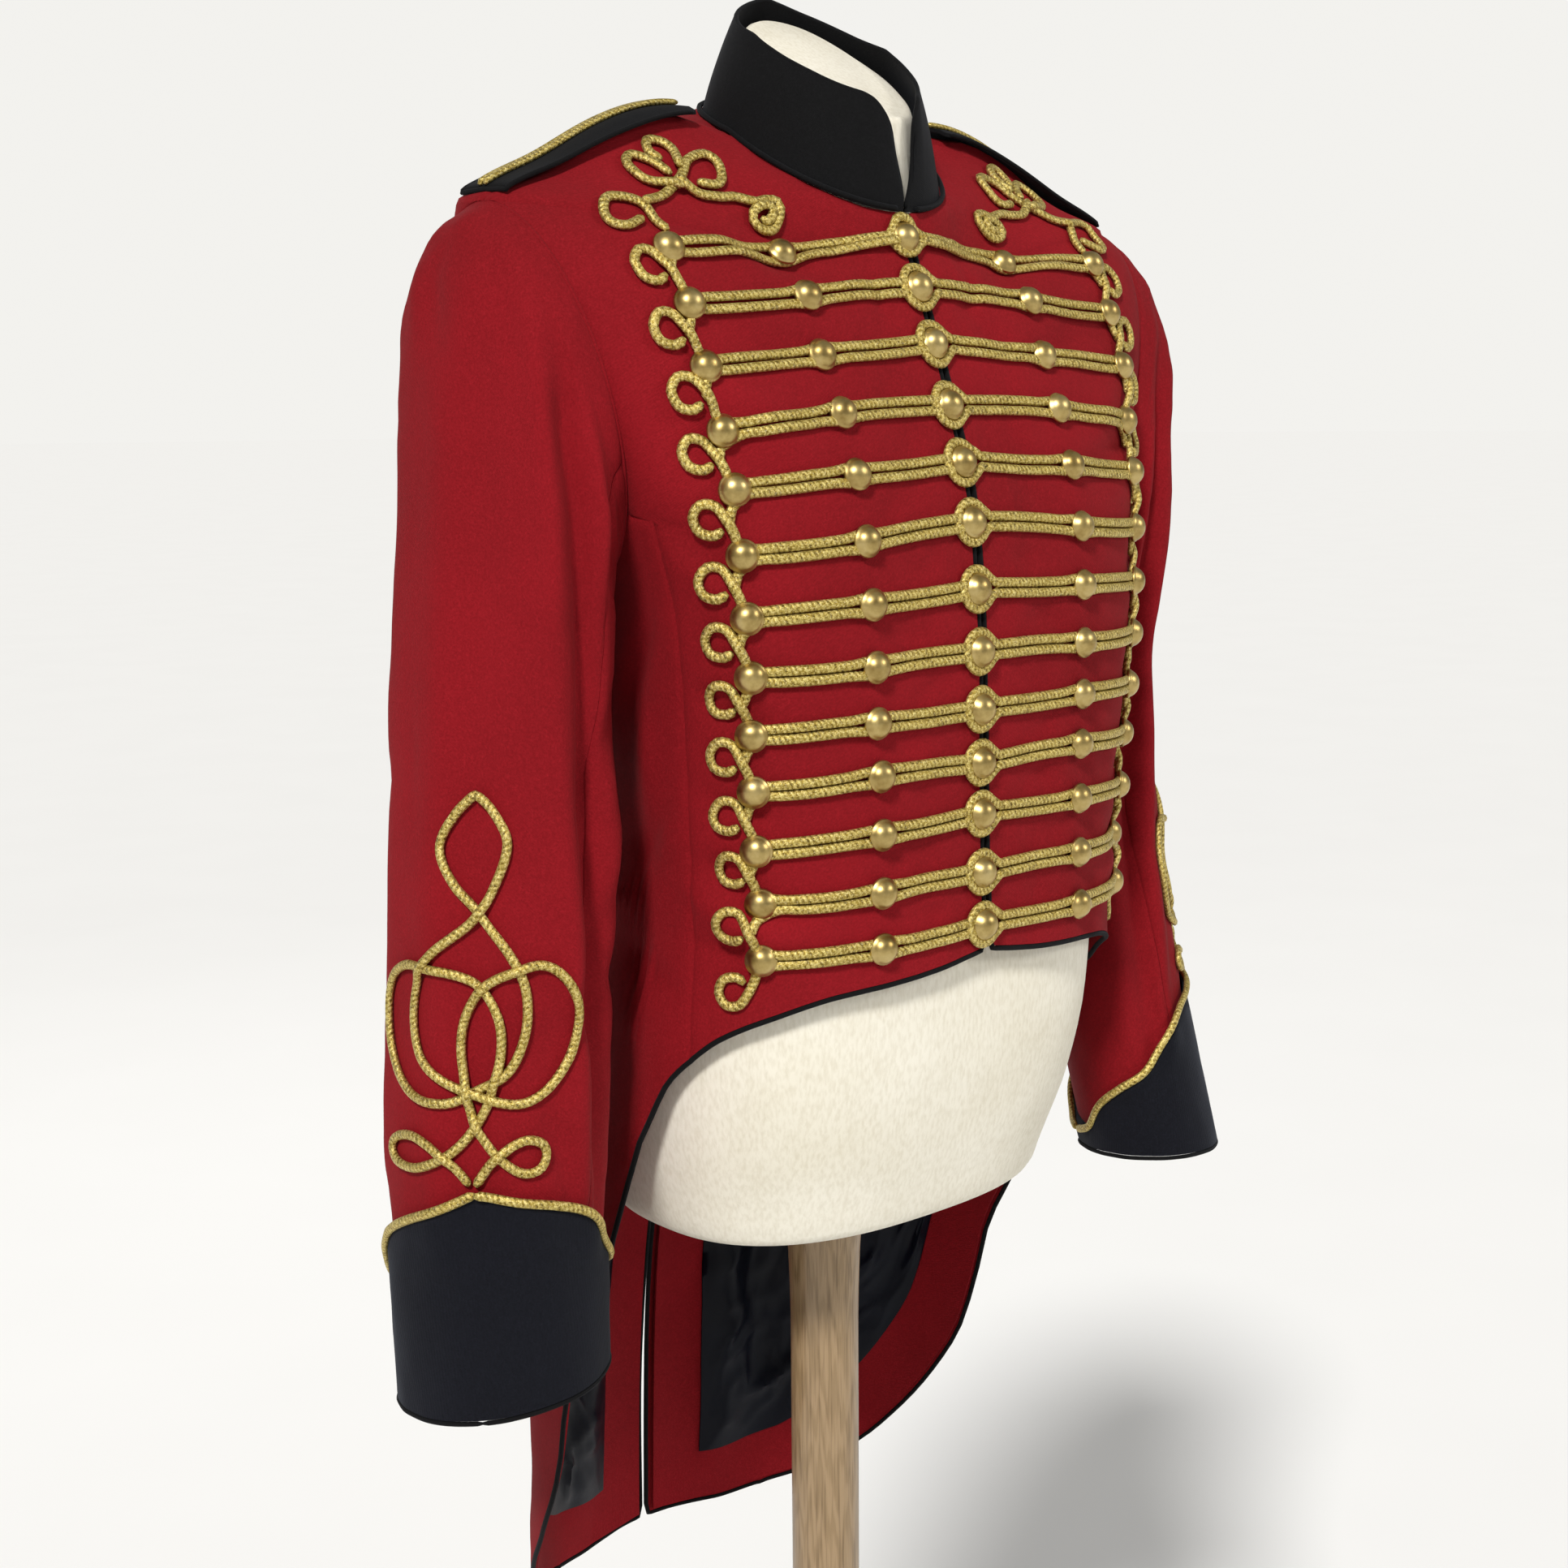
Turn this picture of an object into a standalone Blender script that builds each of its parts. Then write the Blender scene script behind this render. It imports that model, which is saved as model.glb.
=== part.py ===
"""Hussar tailcoat on a limbless dress form.

The wearer faces -Y and the wearer's right side is at -X. Lengths in this script are millimetres;
`mesh_object` turns them into metres. The coat is one smooth surface, `coat_point`, read through a
table of level rings; every cut piece is a patch of that surface with a real thickness, and what lies
on a piece is dropped onto the finished facets of that piece.
"""
import bisect
import math

import bmesh
import bpy
from mathutils import Matrix, Vector
from mathutils.bvhtree import BVHTree

# ---------------------------------------------------------------- driving dimensions (mm)
CLOTH = 1.6                 # wool serge with its interlining
LINING = 0.9                # satin
COLLAR_CLOTH = 2.6          # two layers and the stiffening
STRAP_CLOTH = 2.2
SEAM = 0.4                  # gap between two pieces at a seam
LIFT = 0.4                  # gap under what lies on a piece
PIPING_R = 1.5
EDGE_GAP = 3.8              # front and vent edges to the centre plane: room for two pipings
ROWS = 13                   # frogging rows
BUTTON_R = 8.3
BUTTON_H = 8.8
BUTTON_DRUM = 5.4           # where the dome starts
BUTTON_FOOT = 1.6           # underside over the cloth: it sits in the cord
CORD_W = 4.7
CORD_H = 3.6
CLEARANCE = 0.3             # between rigid pieces of the stand

# Level rings of the coat, top to bottom. `level` names a ring; its height is z_side at the side and
# may dip or rise towards the front (z_front) and the back (z_back). bulge is the superellipse
# exponent, drop the power with which the height leaves that of the side.
RING_COLUMNS = ("level", "half_width", "y_front", "y_mid", "y_back", "z_side", "z_front", "z_back",
                "bulge_front", "bulge_back", "drop")
RINGS = (
    (1450, 63, -67, -3, 62, 1443, 1402, 1468, 2.0, 2.0, 1.0),      # neckline
    (1443, 106, -68, -3, 75, 1450, 1398, 1459, 1.8, 2.0, 0.6),
    (1436, 138, -69, -4, 84, 1442, 1393, 1447, 1.8, 2.0, 0.5),     # middle of the shoulder
    (1420, 181, -70, -4, 92, 1421, 1390, 1425, 1.9, 2.2, 0.7),
    (1404, 219, -71, -3, 98, 1404, 1387, 1404, 2.0, 2.4, 1.0),     # shoulder ends
    (1350, 211, -85, -12, 106, 1350, 1350, 1350, 2.6, 2.5, 1.0),
    (1300, 195, -103, -22, 108, 1300, 1300, 1300, 3.1, 2.6, 1.0),
    (1245, 172, -119, -28, 104, 1245, 1245, 1245, 3.6, 2.6, 1.0),
    (1200, 161, -124, -30, 99, 1200, 1200, 1200, 3.8, 2.5, 1.0),
    (1150, 157, -126, -28, 93, 1150, 1150, 1150, 3.7, 2.4, 1.0),
    (1095, 153, -127, -25, 89, 1095, 1095, 1095, 3.5, 2.3, 1.0),
    (1035, 152, -129, -22, 94, 1035, 1035, 1035, 3.2, 2.2, 1.0),
    (985, 158, -131, -20, 106, 985, 985, 985, 2.8, 2.2, 1.0),
    (930, 162, -131, -15, 124, 930, 930, 930, 2.6, 2.2, 1.0),
    (860, 166, -131, -5, 149, 860, 860, 860, 2.4, 2.2, 1.0),
    (760, 168, -131, 0, 169, 760, 760, 760, 2.3, 2.2, 1.0),
    (660, 168, -131, 0, 177, 660, 660, 660, 2.3, 2.2, 1.0),
    (560, 166, -131, 0, 181, 560, 560, 560, 2.3, 2.2, 1.0),
)
SHOULDER_LEVEL = 1404

# Soft hollow under the collar bone, on each front: depth, angle and level of its middle and spreads.
HOLLOW = (16.0, 50.0, 1412.0, 24.0, 34.0)

# Lower edge of the coat: angle from the centre front round to the centre back, and height.
HEM_COLUMNS = ("angle", "height")
HEM = (
    (0, 1021), (18, 1016), (44, 1011), (58, 1001), (67, 990), (73, 977), (77.7, 963), (81, 944),
    (83.5, 926), (85.7, 893), (88, 860), (91, 832), (95, 808), (99, 782), (102.5, 740), (106, 708),
    (112, 676), (121, 640), (131, 610), (146, 585), (164, 576), (180, 578),
)
SIDE_FRONT_SEAM = ((1240, 77), (1130, 75), (985, 73))        # height, angle
SIDE_BACK_SEAM = ((1245, 113), (1180, 132), (1080, 148), (930, 150), (580, 152))
VENT_TOP = 930

# Armhole: a tilted oval from the shoulder end to the underarm.
ARMHOLE_TOP = (218.0, 1403.0)       # x, z
ARMHOLE_LOW = (163.0, 1214.0)
ARMHOLE_HALF_DEPTH = 64.0
ARM_STEPS = 20                      # points round the armhole
SIDE_FRONT_STEP = 7                 # armhole points where the side body starts and ends
SIDE_BACK_STEP = 12
SHOULDER_ROWS = 4
SIDE_ROWS = 8

# Sleeve sections: height and x of the outer and inner sides, y of the middle, front-back half depth,
# and how far the outer side stands back. The left sleeve hangs bent forward and a little higher.
SLEEVE_COLUMNS = ("z_out", "x_out", "z_in", "x_in", "y_mid", "half_depth", "skew")
SLEEVES = {
    "right": (
        (1403, 218, 1214, 163, 0, 64, 0),
        (1389, 236, 1207, 166, 0, 66, 0),
        (1360, 247, 1198, 167, 0, 67, 0),
        (1310, 250, 1184, 168, 0, 67, 0),
        (1240, 256, 1160, 168, 0, 66, 0),
        (1160, 265, 1118, 169, -2, 64, 0),
        (1075, 272, 1058, 172, -4, 62, 0),
        (1000, 278, 995, 176, -6, 60, 0),
        (935, 284, 932, 180, -8, 58, 0),
        (880, 284, 880, 182, -8, 56, 0),
        (800, 282, 800, 182, -8, 55, 0),
    ),
    "left": (
        (1403, 218, 1214, 163, 0, 64, 0),
        (1389, 236, 1207, 166, 0, 66, 0),
        (1360, 246, 1198, 167, 0, 66, 0),
        (1312, 248, 1184, 168, 1, 66, 1),
        (1248, 253, 1163, 168, 2, 63, 2),
        (1182, 246, 1128, 168, 3, 59, 4),
        (1108, 256, 1074, 171, -1, 56, 9),
        (1036, 268, 1020, 175, -6, 54, 14),
        (966, 277, 954, 180, -17, 52, 18),
        (906, 282, 898, 184, -31, 50, 20),
        (828, 285, 824, 190, -51, 49, 20),
    ),
}
SECTIONS = 11                       # sleeve sections on each side
SLEEVE_END = 9.6                    # the sleeve ends inside the cuff, at this section
SLEEVE_SEAMS = (6, 14)              # armhole steps of the front and back sleeve seams
FOLDS = (                           # sleeve folds: angle at the top and cuff, depth, width
    (62, 112, 5.0, 15),
    (88, 134, -5.0, 17),
    (28, 44, 2.6, 13),
    (8, 20, -2.4, 12),
    (318, 330, 2.4, 14),
)
CUFF_LOW = {"right": 812.0, "left": 840.0}      # height of the cuff's lower edge, outer side
CUFF_TILT = 9.0                     # the front of that edge is this much higher, the back lower
CUFF_COLUMNS = ("degrees from the point", "height of the upper edge over the lower")
CUFF_SCALE = {"right": 1.0, "left": 0.9}
CUFF_EDGE = ((0, 117), (20, 110), (40, 103), (60, 93), (80, 73), (100, 55), (120, 45), (140, 33),
             (160, 14), (180, 9))
CUFF_PROUD = 1.8                    # room between sleeve and cuff
KNOT_ANGLE = 42.0                   # sleeve angle of the knot and the cuff's point, 0 is outward
CUFF_STEPS = 18
SLEEVE_R = 54.0                     # turns mm round a sleeve into an angle

# Shares of a front's row at which its columns stand; closer at the chest's turn.
FRONT_SHARES = (0.0, 0.18, 0.37, 0.53, 0.655, 0.765, 0.88, 1.0)

# Inside of the tail: the red facing's width, the hem angle it starts at, its rows up the vent.
FACING_W = 38.0
FACING_START = 84.0
VENT_STEPS = 8
SKIRT_R = 167.0                     # turns mm round the skirt into an angle

# Stand collar: angle, height above the neck seam, inward lean of its top.
COLLAR = ((0.9, 30, 3), (3, 42, 3.5), (7, 49, 4), (13, 54.5, 5), (20, 56.5, 7), (45, 56, 11),
          (70, 53, 13), (90, 50, 14), (115, 48, 16), (148, 49, 19), (180, 52.5, 20))
COLLAR_OPEN = {"right": 3.0, "left": 9.5}   # degrees that each front swings open at its top

# Frogging rows: heights of the centre, mid and outer buttons; half widths; the loop is at x < 0.
ROW_COLUMNS = ("z_centre", "z_mid", "z_outer", "x_mid", "x_outer")
ROW_TABLE = (
    (1391, 1379, 1377, 81, 152), (1363, 1357, 1351, 81, 151), (1334, 1329, 1322, 81, 150),
    (1303, 1300, 1293, 79, 147), (1274, 1270, 1265, 79, 146), (1244, 1238, 1234, 79, 144),
    (1210, 1207, 1204, 78, 142), (1178, 1176, 1175, 77, 140), (1148, 1148, 1146, 77, 139),
    (1120, 1121, 1118, 75, 137), (1093, 1091, 1088, 74, 135), (1062, 1061, 1060, 74, 133),
    (1034, 1032, 1032, 74, 132),
)
CENTRE_X = -4.5                     # middle buttons sit on the right front's edge

# Cord sections as (across, up): one cord, two side by side, the tongue under the middle button.
CORD_SECTION = ((-CORD_W / 2, 0.0), (0.0, CORD_H), (CORD_W / 2, 0.0))
BAND_SECTION = ((-CORD_W, 0.0), (-CORD_W * 0.62, CORD_H), (CORD_W * 0.62, CORD_H), (CORD_W, 0.0))
TONGUE_SECTION = ((-3.0, 0.0), (0.0, 1.6), (3.0, 0.0))
BAND_LIFT = 0.6                     # how far the double cord is raised over its gap

# Eyelet of the upper cord beyond the outer button: (mm outwards, mm up) from that button.
EYELET = ((-2, 2), (4, 11), (8, 19), (13, 23.5), (18.5, 22.5), (20.5, 17), (17.5, 12), (12.5, 11))
EYELET_STEP = 12.0                  # spacing of the rings along it
FIRST_EYELET_REACH = 1.35           # the top row's eyelet stands wider
LOOP_R = BUTTON_R + 0.6 + CORD_W / 2    # the left front's loop round the middle button
LOOP_LIFT = 2.6

# Shoulder ornament seen from above, in (x, y) on the left side, as lengths of cord.
ORNAMENT = (
    ((151, -40), (136, -37), (122, -33), (112, -25), (101, -24), (96, -30), (102, -37)),
    ((122, -34), (136, -33), (145, -28), (145, -20), (137, -17), (126, -25)),
    ((119, -31), (115, -20), (119, -13.5), (127, -12.5), (129, -19)),
    ((124, -36), (112, -40), (97, -40), (85, -41), (74, -44), (71, -49), (78, -52), (88, -51),
     (92, -46.5)),
)
# Sleeve knot in (mm towards the front, height over the cuff's point), as lengths of one cord.
KNOT_TOP_BACK = ((4, 130), (-8, 150), (-19, 166), (-13, 182), (-4, 193))
KNOT_TOP_FRONT = ((-8, 131), (5, 150), (13, 166), (7, 181), (-3, 195))
KNOT_PEAR = ((5, 139), (-14, 127), (-27, 113), (-34, 92), (-31, 70), (-18, 55), (3, 49))
KNOT_OVALS = ((-12, 104), (-26, 106), (-44, 106), (-58, 92), (-58, 66), (-42, 48), (-18, 44))
KNOT_FRONT = 0.84                   # the half towards the front is this much narrower
KNOT_DROP = {"right": 0.0, "left": 10.0}    # the left knot stands this much lower on its point
KNOT_WAIST = ((-12, 106), (2, 98), (10, 84), (11, 66), (6, 44), (0, 30), (-13, 17), (-30, 7),
              (-45, 8), (-48, 16))
KNOT_EYELET = ((-48, 15), (-44, 23), (-32, 25), (-16, 17), (0, 2))
KNOT_STEP = 23.0                    # spacing of the rings along the cord

# Stand.
TORSO_LOW = 862.0
POST_R = 20.0
BASE_R = 175.0
BASE_H = 26.0
# Torso: level and inset from the coat's outer face.
FORM_RINGS = ((1443, 13.0), (1434, 10.5), (1420, 7.5), (1404, 9.5), (1375, 10.5), (1330, 11.0),
              (1260, 11.0), (1190, 10.0), (1120, 9.0), (1040, 9.5), (970, 12.0), (920, 20.0),
              (876, 33.0))
NECK_TOP = (1452.0, 1510.0)         # front and back of the slanting top
NECK_TOP_GAP = 4.0                  # the top to the collar's inner face
NECK_INSET = 7.5                    # neck to the coat's neckline

COLOURS = {                         # base colour, roughness, metallic
    "red": ((0.30, 0.010, 0.020), 0.85, 0.0),
    "black": ((0.010, 0.010, 0.012), 0.8, 0.0),
    "navy": ((0.012, 0.014, 0.025), 0.85, 0.0),
    "satin": ((0.010, 0.011, 0.016), 0.35, 0.0),
    "gold": ((0.55, 0.38, 0.12), 0.45, 0.6),
    "cream": ((0.72, 0.66, 0.52), 0.8, 0.0),
    "ash": ((0.45, 0.29, 0.14), 0.5, 0.0),
}
SIDES = (("right", -1.0), ("left", 1.0))
FULL = 180.0
SAMPLES = (0.0, 0.125, 0.25, 0.375, 0.5, 0.625, 0.75, 0.875, 1.0)   # tests between two rings
NUDGES = ((0, 0, 0), (0.03, 0.02, 0.04), (0.02, -0.05, 0.03), (-0.07, 0.04, 0.03),
          (0.05, 0.05, -0.09), (0.04, -0.09, -0.06), (-0.11, 0.02, 0.05), (0.09, 0.08, 0.03),
          (0.22, 0.13, -0.2), (-0.2, -0.24, 0.23), (0.31, -0.19, 0.27), (-0.33, 0.28, -0.15))


# ---------------------------------------------------------------- small helpers
def clear_scene():
    for item in list(bpy.data.objects):
        bpy.data.objects.remove(item, do_unlink=True)


def material(colour):
    """The material of one colour, made once."""
    found = bpy.data.materials.get(colour)
    if found:
        return found
    made = bpy.data.materials.new(colour)
    made.use_nodes = True
    shader = made.node_tree.nodes["Principled BSDF"]
    rgb, roughness, metallic = COLOURS[colour]
    shader.inputs["Base Color"].default_value = (*rgb, 1.0)
    shader.inputs["Roughness"].default_value = roughness
    shader.inputs["Metallic"].default_value = metallic
    made.diffuse_color = (*rgb, 1.0)
    return made


def mesh_object(name, points, faces, colour):
    """A named object from points in mm, with every face turned outwards."""
    mesh = bpy.data.meshes.new(name)
    mesh.from_pydata([tuple(0.001 * c for c in p) for p in points], [], faces)
    mesh.update()
    made = bpy.data.objects.new(name, mesh)
    bpy.context.scene.collection.objects.link(made)
    mesh.materials.append(material(colour))
    if signed_volume(points, faces) < 0:
        mesh.flip_normals()
    return made


def signed_volume(points, faces):
    total = 0.0
    for face in faces:
        a = Vector(points[face[0]])
        for i in range(1, len(face) - 1):
            total += a.dot(Vector(points[face[i]]).cross(Vector(points[face[i + 1]])))
    return total


def slope(xs, ys, i):
    """Tangent at knot i: flat at a turn, else the limited mean of the two neighbouring slopes."""
    if i == 0:
        return (ys[1] - ys[0]) / (xs[1] - xs[0])
    if i == len(xs) - 1:
        return (ys[-1] - ys[-2]) / (xs[-1] - xs[-2])
    before = (ys[i] - ys[i - 1]) / (xs[i] - xs[i - 1])
    after = (ys[i + 1] - ys[i]) / (xs[i + 1] - xs[i])
    if before * after <= 0:
        return 0.0
    return 2.0 * before * after / (before + after)


def curve_value(xs, ys, x):
    """Smooth curve through knots with rising xs; it doesn't overshoot."""
    x = min(max(x, xs[0]), xs[-1])
    i = min(max(bisect.bisect_right(xs, x) - 1, 0), len(xs) - 2)
    step = xs[i + 1] - xs[i]
    t = (x - xs[i]) / step
    m0 = slope(xs, ys, i) * step
    m1 = slope(xs, ys, i + 1) * step
    return ((2 * t ** 3 - 3 * t ** 2 + 1) * ys[i] + (t ** 3 - 2 * t ** 2 + t) * m0
            + (3 * t ** 2 - 2 * t ** 3) * ys[i + 1] + (t ** 3 - t ** 2) * m1)


def reader(table, key=0):
    """A function that reads every column of a table smoothly at one value of its key column."""
    rows = sorted(table, key=lambda row: row[key])
    xs = [row[key] for row in rows]
    columns = list(zip(*rows))

    def read(x):
        return [curve_value(xs, column, x) for column in columns]
    return read


ring_at = reader(RINGS)
hem_at = reader(HEM)
side_front_at = reader(SIDE_FRONT_SEAM)
side_back_at = reader(SIDE_BACK_SEAM)
collar_at = reader(COLLAR)


def polar_radius(half_width, half_depth, bulge, angle):
    s = abs(math.sin(angle)) / half_width
    c = abs(math.cos(angle)) / half_depth
    return (s ** bulge + c ** bulge) ** (-1.0 / bulge)


def coat_point(angle, level, inset=0.0):
    """Outer surface of the coat on the +X side: angle in degrees from the front, level in mm."""
    (_, width, y_front, y_mid, y_back, z_side, z_front, z_back, bulge_f, bulge_b,
     drop) = ring_at(level)
    a = math.radians(angle)
    c = math.cos(a)
    front = c > 0
    depth = (y_mid - y_front if front else y_back - y_mid) - inset
    r = polar_radius(width - inset, depth, bulge_f if front else bulge_b, a)
    z_end = z_front if front else z_back
    z = z_side + (z_end - z_side) * abs(c) ** drop
    sink = hollow(angle, level)
    return Vector((r * math.sin(a), y_mid - r * c + 0.7 * sink, z - 0.7 * sink))


def hollow(angle, level):
    """Depth of the hollow under the collar bone; it dies out at the neckline."""
    depth, middle_angle, middle_level, spread_angle, spread_level = HOLLOW
    taper = min(1.0, max(0.0, (RINGS[0][0] - level) / 10.0))
    off = ((angle - middle_angle) / spread_angle) ** 2 + ((level - middle_level) / spread_level) ** 2
    return depth * taper * math.exp(-off)


def coat_normal(angle, level):
    """Outward unit normal of the coat surface."""
    da, dl = 0.4, 1.5
    low = max(angle - da, 0.05)
    high = min(angle + da, FULL - 0.05)
    along = coat_point(high, level) - coat_point(low, level)
    down = coat_point(angle, level - dl) - coat_point(angle, level + dl)
    n = down.cross(along)
    n.normalize()
    if level > SHOULDER_LEVEL + 20:
        flipped = n.z < 0
    else:
        outward = coat_point(angle, level)
        flipped = n.x * outward.x + n.y * (outward.y - ring_at(level)[3]) + n.z * 5 < 0
    if flipped:
        n.negate()
    return n


def hem_height(angle):
    return hem_at(angle)[1]


def mirrored(points, sign):
    return [[Vector((p.x * sign, p.y, p.z)) for p in row] for row in points]


def shell(name, outer, inner, colour, wrap=False):
    """A closed solid between two grids of points; wrap joins the last column to the first."""
    rows = len(outer)
    columns = len(outer[0])
    points = [p for grid in (outer, inner) for row in grid for p in row]
    faces = []

    def at(layer, i, j):
        return layer * rows * columns + i * columns + j % columns

    last = columns if wrap else columns - 1
    for i in range(rows - 1):
        for j in range(last):
            faces.append((at(0, i, j), at(0, i + 1, j), at(0, i + 1, j + 1), at(0, i, j + 1)))
            faces.append((at(1, i, j), at(1, i, j + 1), at(1, i + 1, j + 1), at(1, i + 1, j)))
    for j in range(last):
        faces.append((at(0, 0, j), at(0, 0, j + 1), at(1, 0, j + 1), at(1, 0, j)))
        end = rows - 1
        faces.append((at(0, end, j + 1), at(0, end, j), at(1, end, j), at(1, end, j + 1)))
    if not wrap:
        for i in range(rows - 1):
            faces.append((at(0, i + 1, 0), at(0, i, 0), at(1, i, 0), at(1, i + 1, 0)))
            end = columns - 1
            faces.append((at(0, i, end), at(0, i + 1, end), at(1, i + 1, end), at(1, i, end)))
    return mesh_object(name, points, faces, colour)


def facets(grid, wrap=False):
    """Search tree over one grid's facets, to drop things onto them."""
    columns = len(grid[0])
    last = columns if wrap else columns - 1
    points = [p for row in grid for p in row]
    faces = []
    for i in range(len(grid) - 1):
        for j in range(last):
            k = (j + 1) % columns
            a, b = i * columns + j, (i + 1) * columns + j
            c, d = (i + 1) * columns + k, i * columns + k
            faces += [(a, b, c), (a, c, d)]
    return BVHTree.FromPolygons(points, faces)


def round_section(sides, radius):
    return [(radius * math.cos(2 * math.pi * k / sides), radius * math.sin(2 * math.pi * k / sides))
            for k in range(sides)]


def sweep_rings(path, normals, section, closed=False):
    """Section points (across, up) carried along a path; a missing normal is carried on."""
    rings = []
    up = Vector((0.0, 0.0, 1.0))
    count = len(path)
    for i, p in enumerate(path):
        before = path[i - 1] if i or closed else path[i]
        after = path[(i + 1) % count] if i < count - 1 or closed else path[i]
        along = (after - before).normalized()
        if normals[i] is not None:
            up = normals[i]
        elif abs(up.dot(along)) > 0.95:
            up = Vector((1.0, 0.0, 0.0))
        up = (up - along * up.dot(along)).normalized()
        across = along.cross(up)
        rings.append([p + across * s[0] + up * s[1] for s in section])
    return rings


def swept(name, rings, colour, closed=False):
    """A closed solid through rings of points."""
    count = len(rings)
    sides = len(rings[0])
    points = [p for ring in rings for p in ring]
    faces = []
    for i in range(count if closed else count - 1):
        k = (i + 1) % count
        for j in range(sides):
            m = (j + 1) % sides
            faces.append((i * sides + j, i * sides + m, k * sides + m, k * sides + j))
    if not closed:
        faces.append(tuple(range(sides - 1, -1, -1)))
        faces.append(tuple((count - 1) * sides + j for j in range(sides)))
    return mesh_object(name, points, faces, colour)


def fuse(name, pieces):
    """One solid from overlapping pieces; the union is made in mm, where it is more exact.

    A piece that doesn't join cleanly waits until others have joined."""
    for piece in pieces:
        piece.data.transform(Matrix.Scale(1000.0, 4))
    body = pieces[0]
    waiting = list(pieces[1:])
    for _ in range(3 * len(waiting)):
        if not waiting:
            break
        other = waiting.pop(0)
        mesh = joined(body, other)
        if mesh is None:
            waiting.append(other)
        else:
            body.data = mesh
            bpy.data.objects.remove(other, do_unlink=True)
    if waiting:
        raise RuntimeError("%s: %d pieces don't join" % (name, len(waiting)))
    body.data.transform(Matrix.Scale(0.001, 4))
    body.name = name
    body.data.name = name
    return body


def joined(body, other):
    """Union of two pieces, the second nudged a hair until it comes out whole; None if it never does."""
    union = body.modifiers.new("join", "BOOLEAN")
    union.operation = "UNION"
    union.solver = "EXACT"
    union.object = other
    whole = None
    moved = Vector((0.0, 0.0, 0.0))
    for nudge in NUDGES:
        other.data.transform(Matrix.Translation(Vector(nudge) - moved))
        moved = Vector(nudge)
        bpy.context.view_layer.update()
        graph = bpy.context.evaluated_depsgraph_get()
        mesh = bpy.data.meshes.new_from_object(body.evaluated_get(graph))
        if is_whole(mesh) and volume(mesh) > 0.7 * (volume(body.data) + volume(other.data)):
            whole = mesh
            break
    body.modifiers.clear()
    return whole


def volume(mesh):
    shape = bmesh.new()
    shape.from_mesh(mesh)
    size = shape.calc_volume()
    shape.free()
    return size


def is_whole(mesh):
    """Whether a mesh is one closed body."""
    shape = bmesh.new()
    shape.from_mesh(mesh)
    closed = len(shape.faces) > 0 and all(len(edge.link_faces) == 2 for edge in shape.edges)
    seen = set()
    waiting = list(shape.verts)[:1]
    while waiting:
        vertex = waiting.pop()
        if vertex not in seen:
            seen.add(vertex)
            waiting += [edge.other_vert(vertex) for edge in vertex.link_edges]
    whole = closed and len(seen) == len(shape.verts)
    shape.free()
    return whole


def height_over(trees, p, n):
    """Height of a point over the facets under it, along a normal."""
    reach = 15.0
    hits = [tree.ray_cast(p + n * reach, -n)[0] for tree in trees]
    heights = [(h - p - n * reach).length - reach for h in hits if h is not None]
    return min(heights) if heights else None


def clear_lifts(trees, foot, normals, gap):
    """How far to raise each row of foot points so that everything between the rows clears."""
    lifts = [0.0] * len(foot)
    for i in list(range(len(foot) - 1)) * 2:
        need = 0.0
        for t in SAMPLES:
            n = normals[i].lerp(normals[i + 1], t).normalized()
            raised = lifts[i] * (1 - t) + lifts[i + 1] * t
            for j in range(len(foot[i]) - 1):
                for u in (0.0, 0.5, 1.0):
                    p = foot[i][j].lerp(foot[i][j + 1], u)
                    q = foot[i + 1][j].lerp(foot[i + 1][j + 1], u)
                    height = height_over(trees, p.lerp(q, t) + n * raised, n)
                    if height is not None:
                        need = max(need, gap - height)
        lifts[i] += need
        lifts[i + 1] += need
    return lifts


# ---------------------------------------------------------------- coat panels
def armhole_point(step):
    """A point of the armhole on the +X side; step 0 is the shoulder end, rising towards the front."""
    a = 2 * math.pi * step / ARM_STEPS
    t = 0.5 - 0.5 * math.cos(a)
    x = ARMHOLE_TOP[0] + (ARMHOLE_LOW[0] - ARMHOLE_TOP[0]) * t
    z = ARMHOLE_TOP[1] + (ARMHOLE_LOW[1] - ARMHOLE_TOP[1]) * t
    return Vector((x, -ARMHOLE_HALF_DEPTH * math.sin(a), z))


def armhole_place(step):
    """Angle and level of the coat surface nearest to an armhole point."""
    target = armhole_point(step)
    angle = 90.0
    level = target.z
    size_a, size_l = 24.0, 12.0
    best = (coat_point(angle, level) - target).length
    while size_a > 0.05:
        moved = False
        for da, dl in ((size_a, 0), (-size_a, 0), (0, size_l), (0, -size_l)):
            gap = (coat_point(angle + da, level + dl) - target).length
            if gap < best:
                best = gap
                angle += da
                level += dl
                moved = True
        if not moved:
            size_a *= 0.5
            size_l *= 0.5
    return angle, level


def panel(name, places, sign, colour, edge_targets, seam_sides):
    """A cut piece from a grid of (angle, level) places.

    edge_targets holds (row, column, point, axis): that vertex is drawn to the point and the rest of
    its row or column follows, fading out. seam_sides pulls the first or last column in by half a
    seam."""
    outer = [[coat_point(*place) for place in row] for row in places]
    normals = [[coat_normal(*place) for place in row] for row in places]
    for i, j, target, axis in edge_targets:
        draw_to(outer, i, j, target, axis)
    for side in seam_sides:
        for row in outer:
            near, far = (0, 1) if side == "first" else (-1, -2)
            step = row[far] - row[near]
            row[near] = row[near] + step.normalized() * (SEAM / 2 + 0.1)
    inner = [[p - n * CLOTH for p, n in zip(*pair)] for pair in zip(outer, normals)]
    outer, inner = mirrored(outer, sign), mirrored(inner, sign)
    shell(name, outer, inner, colour)
    return outer, inner


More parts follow.
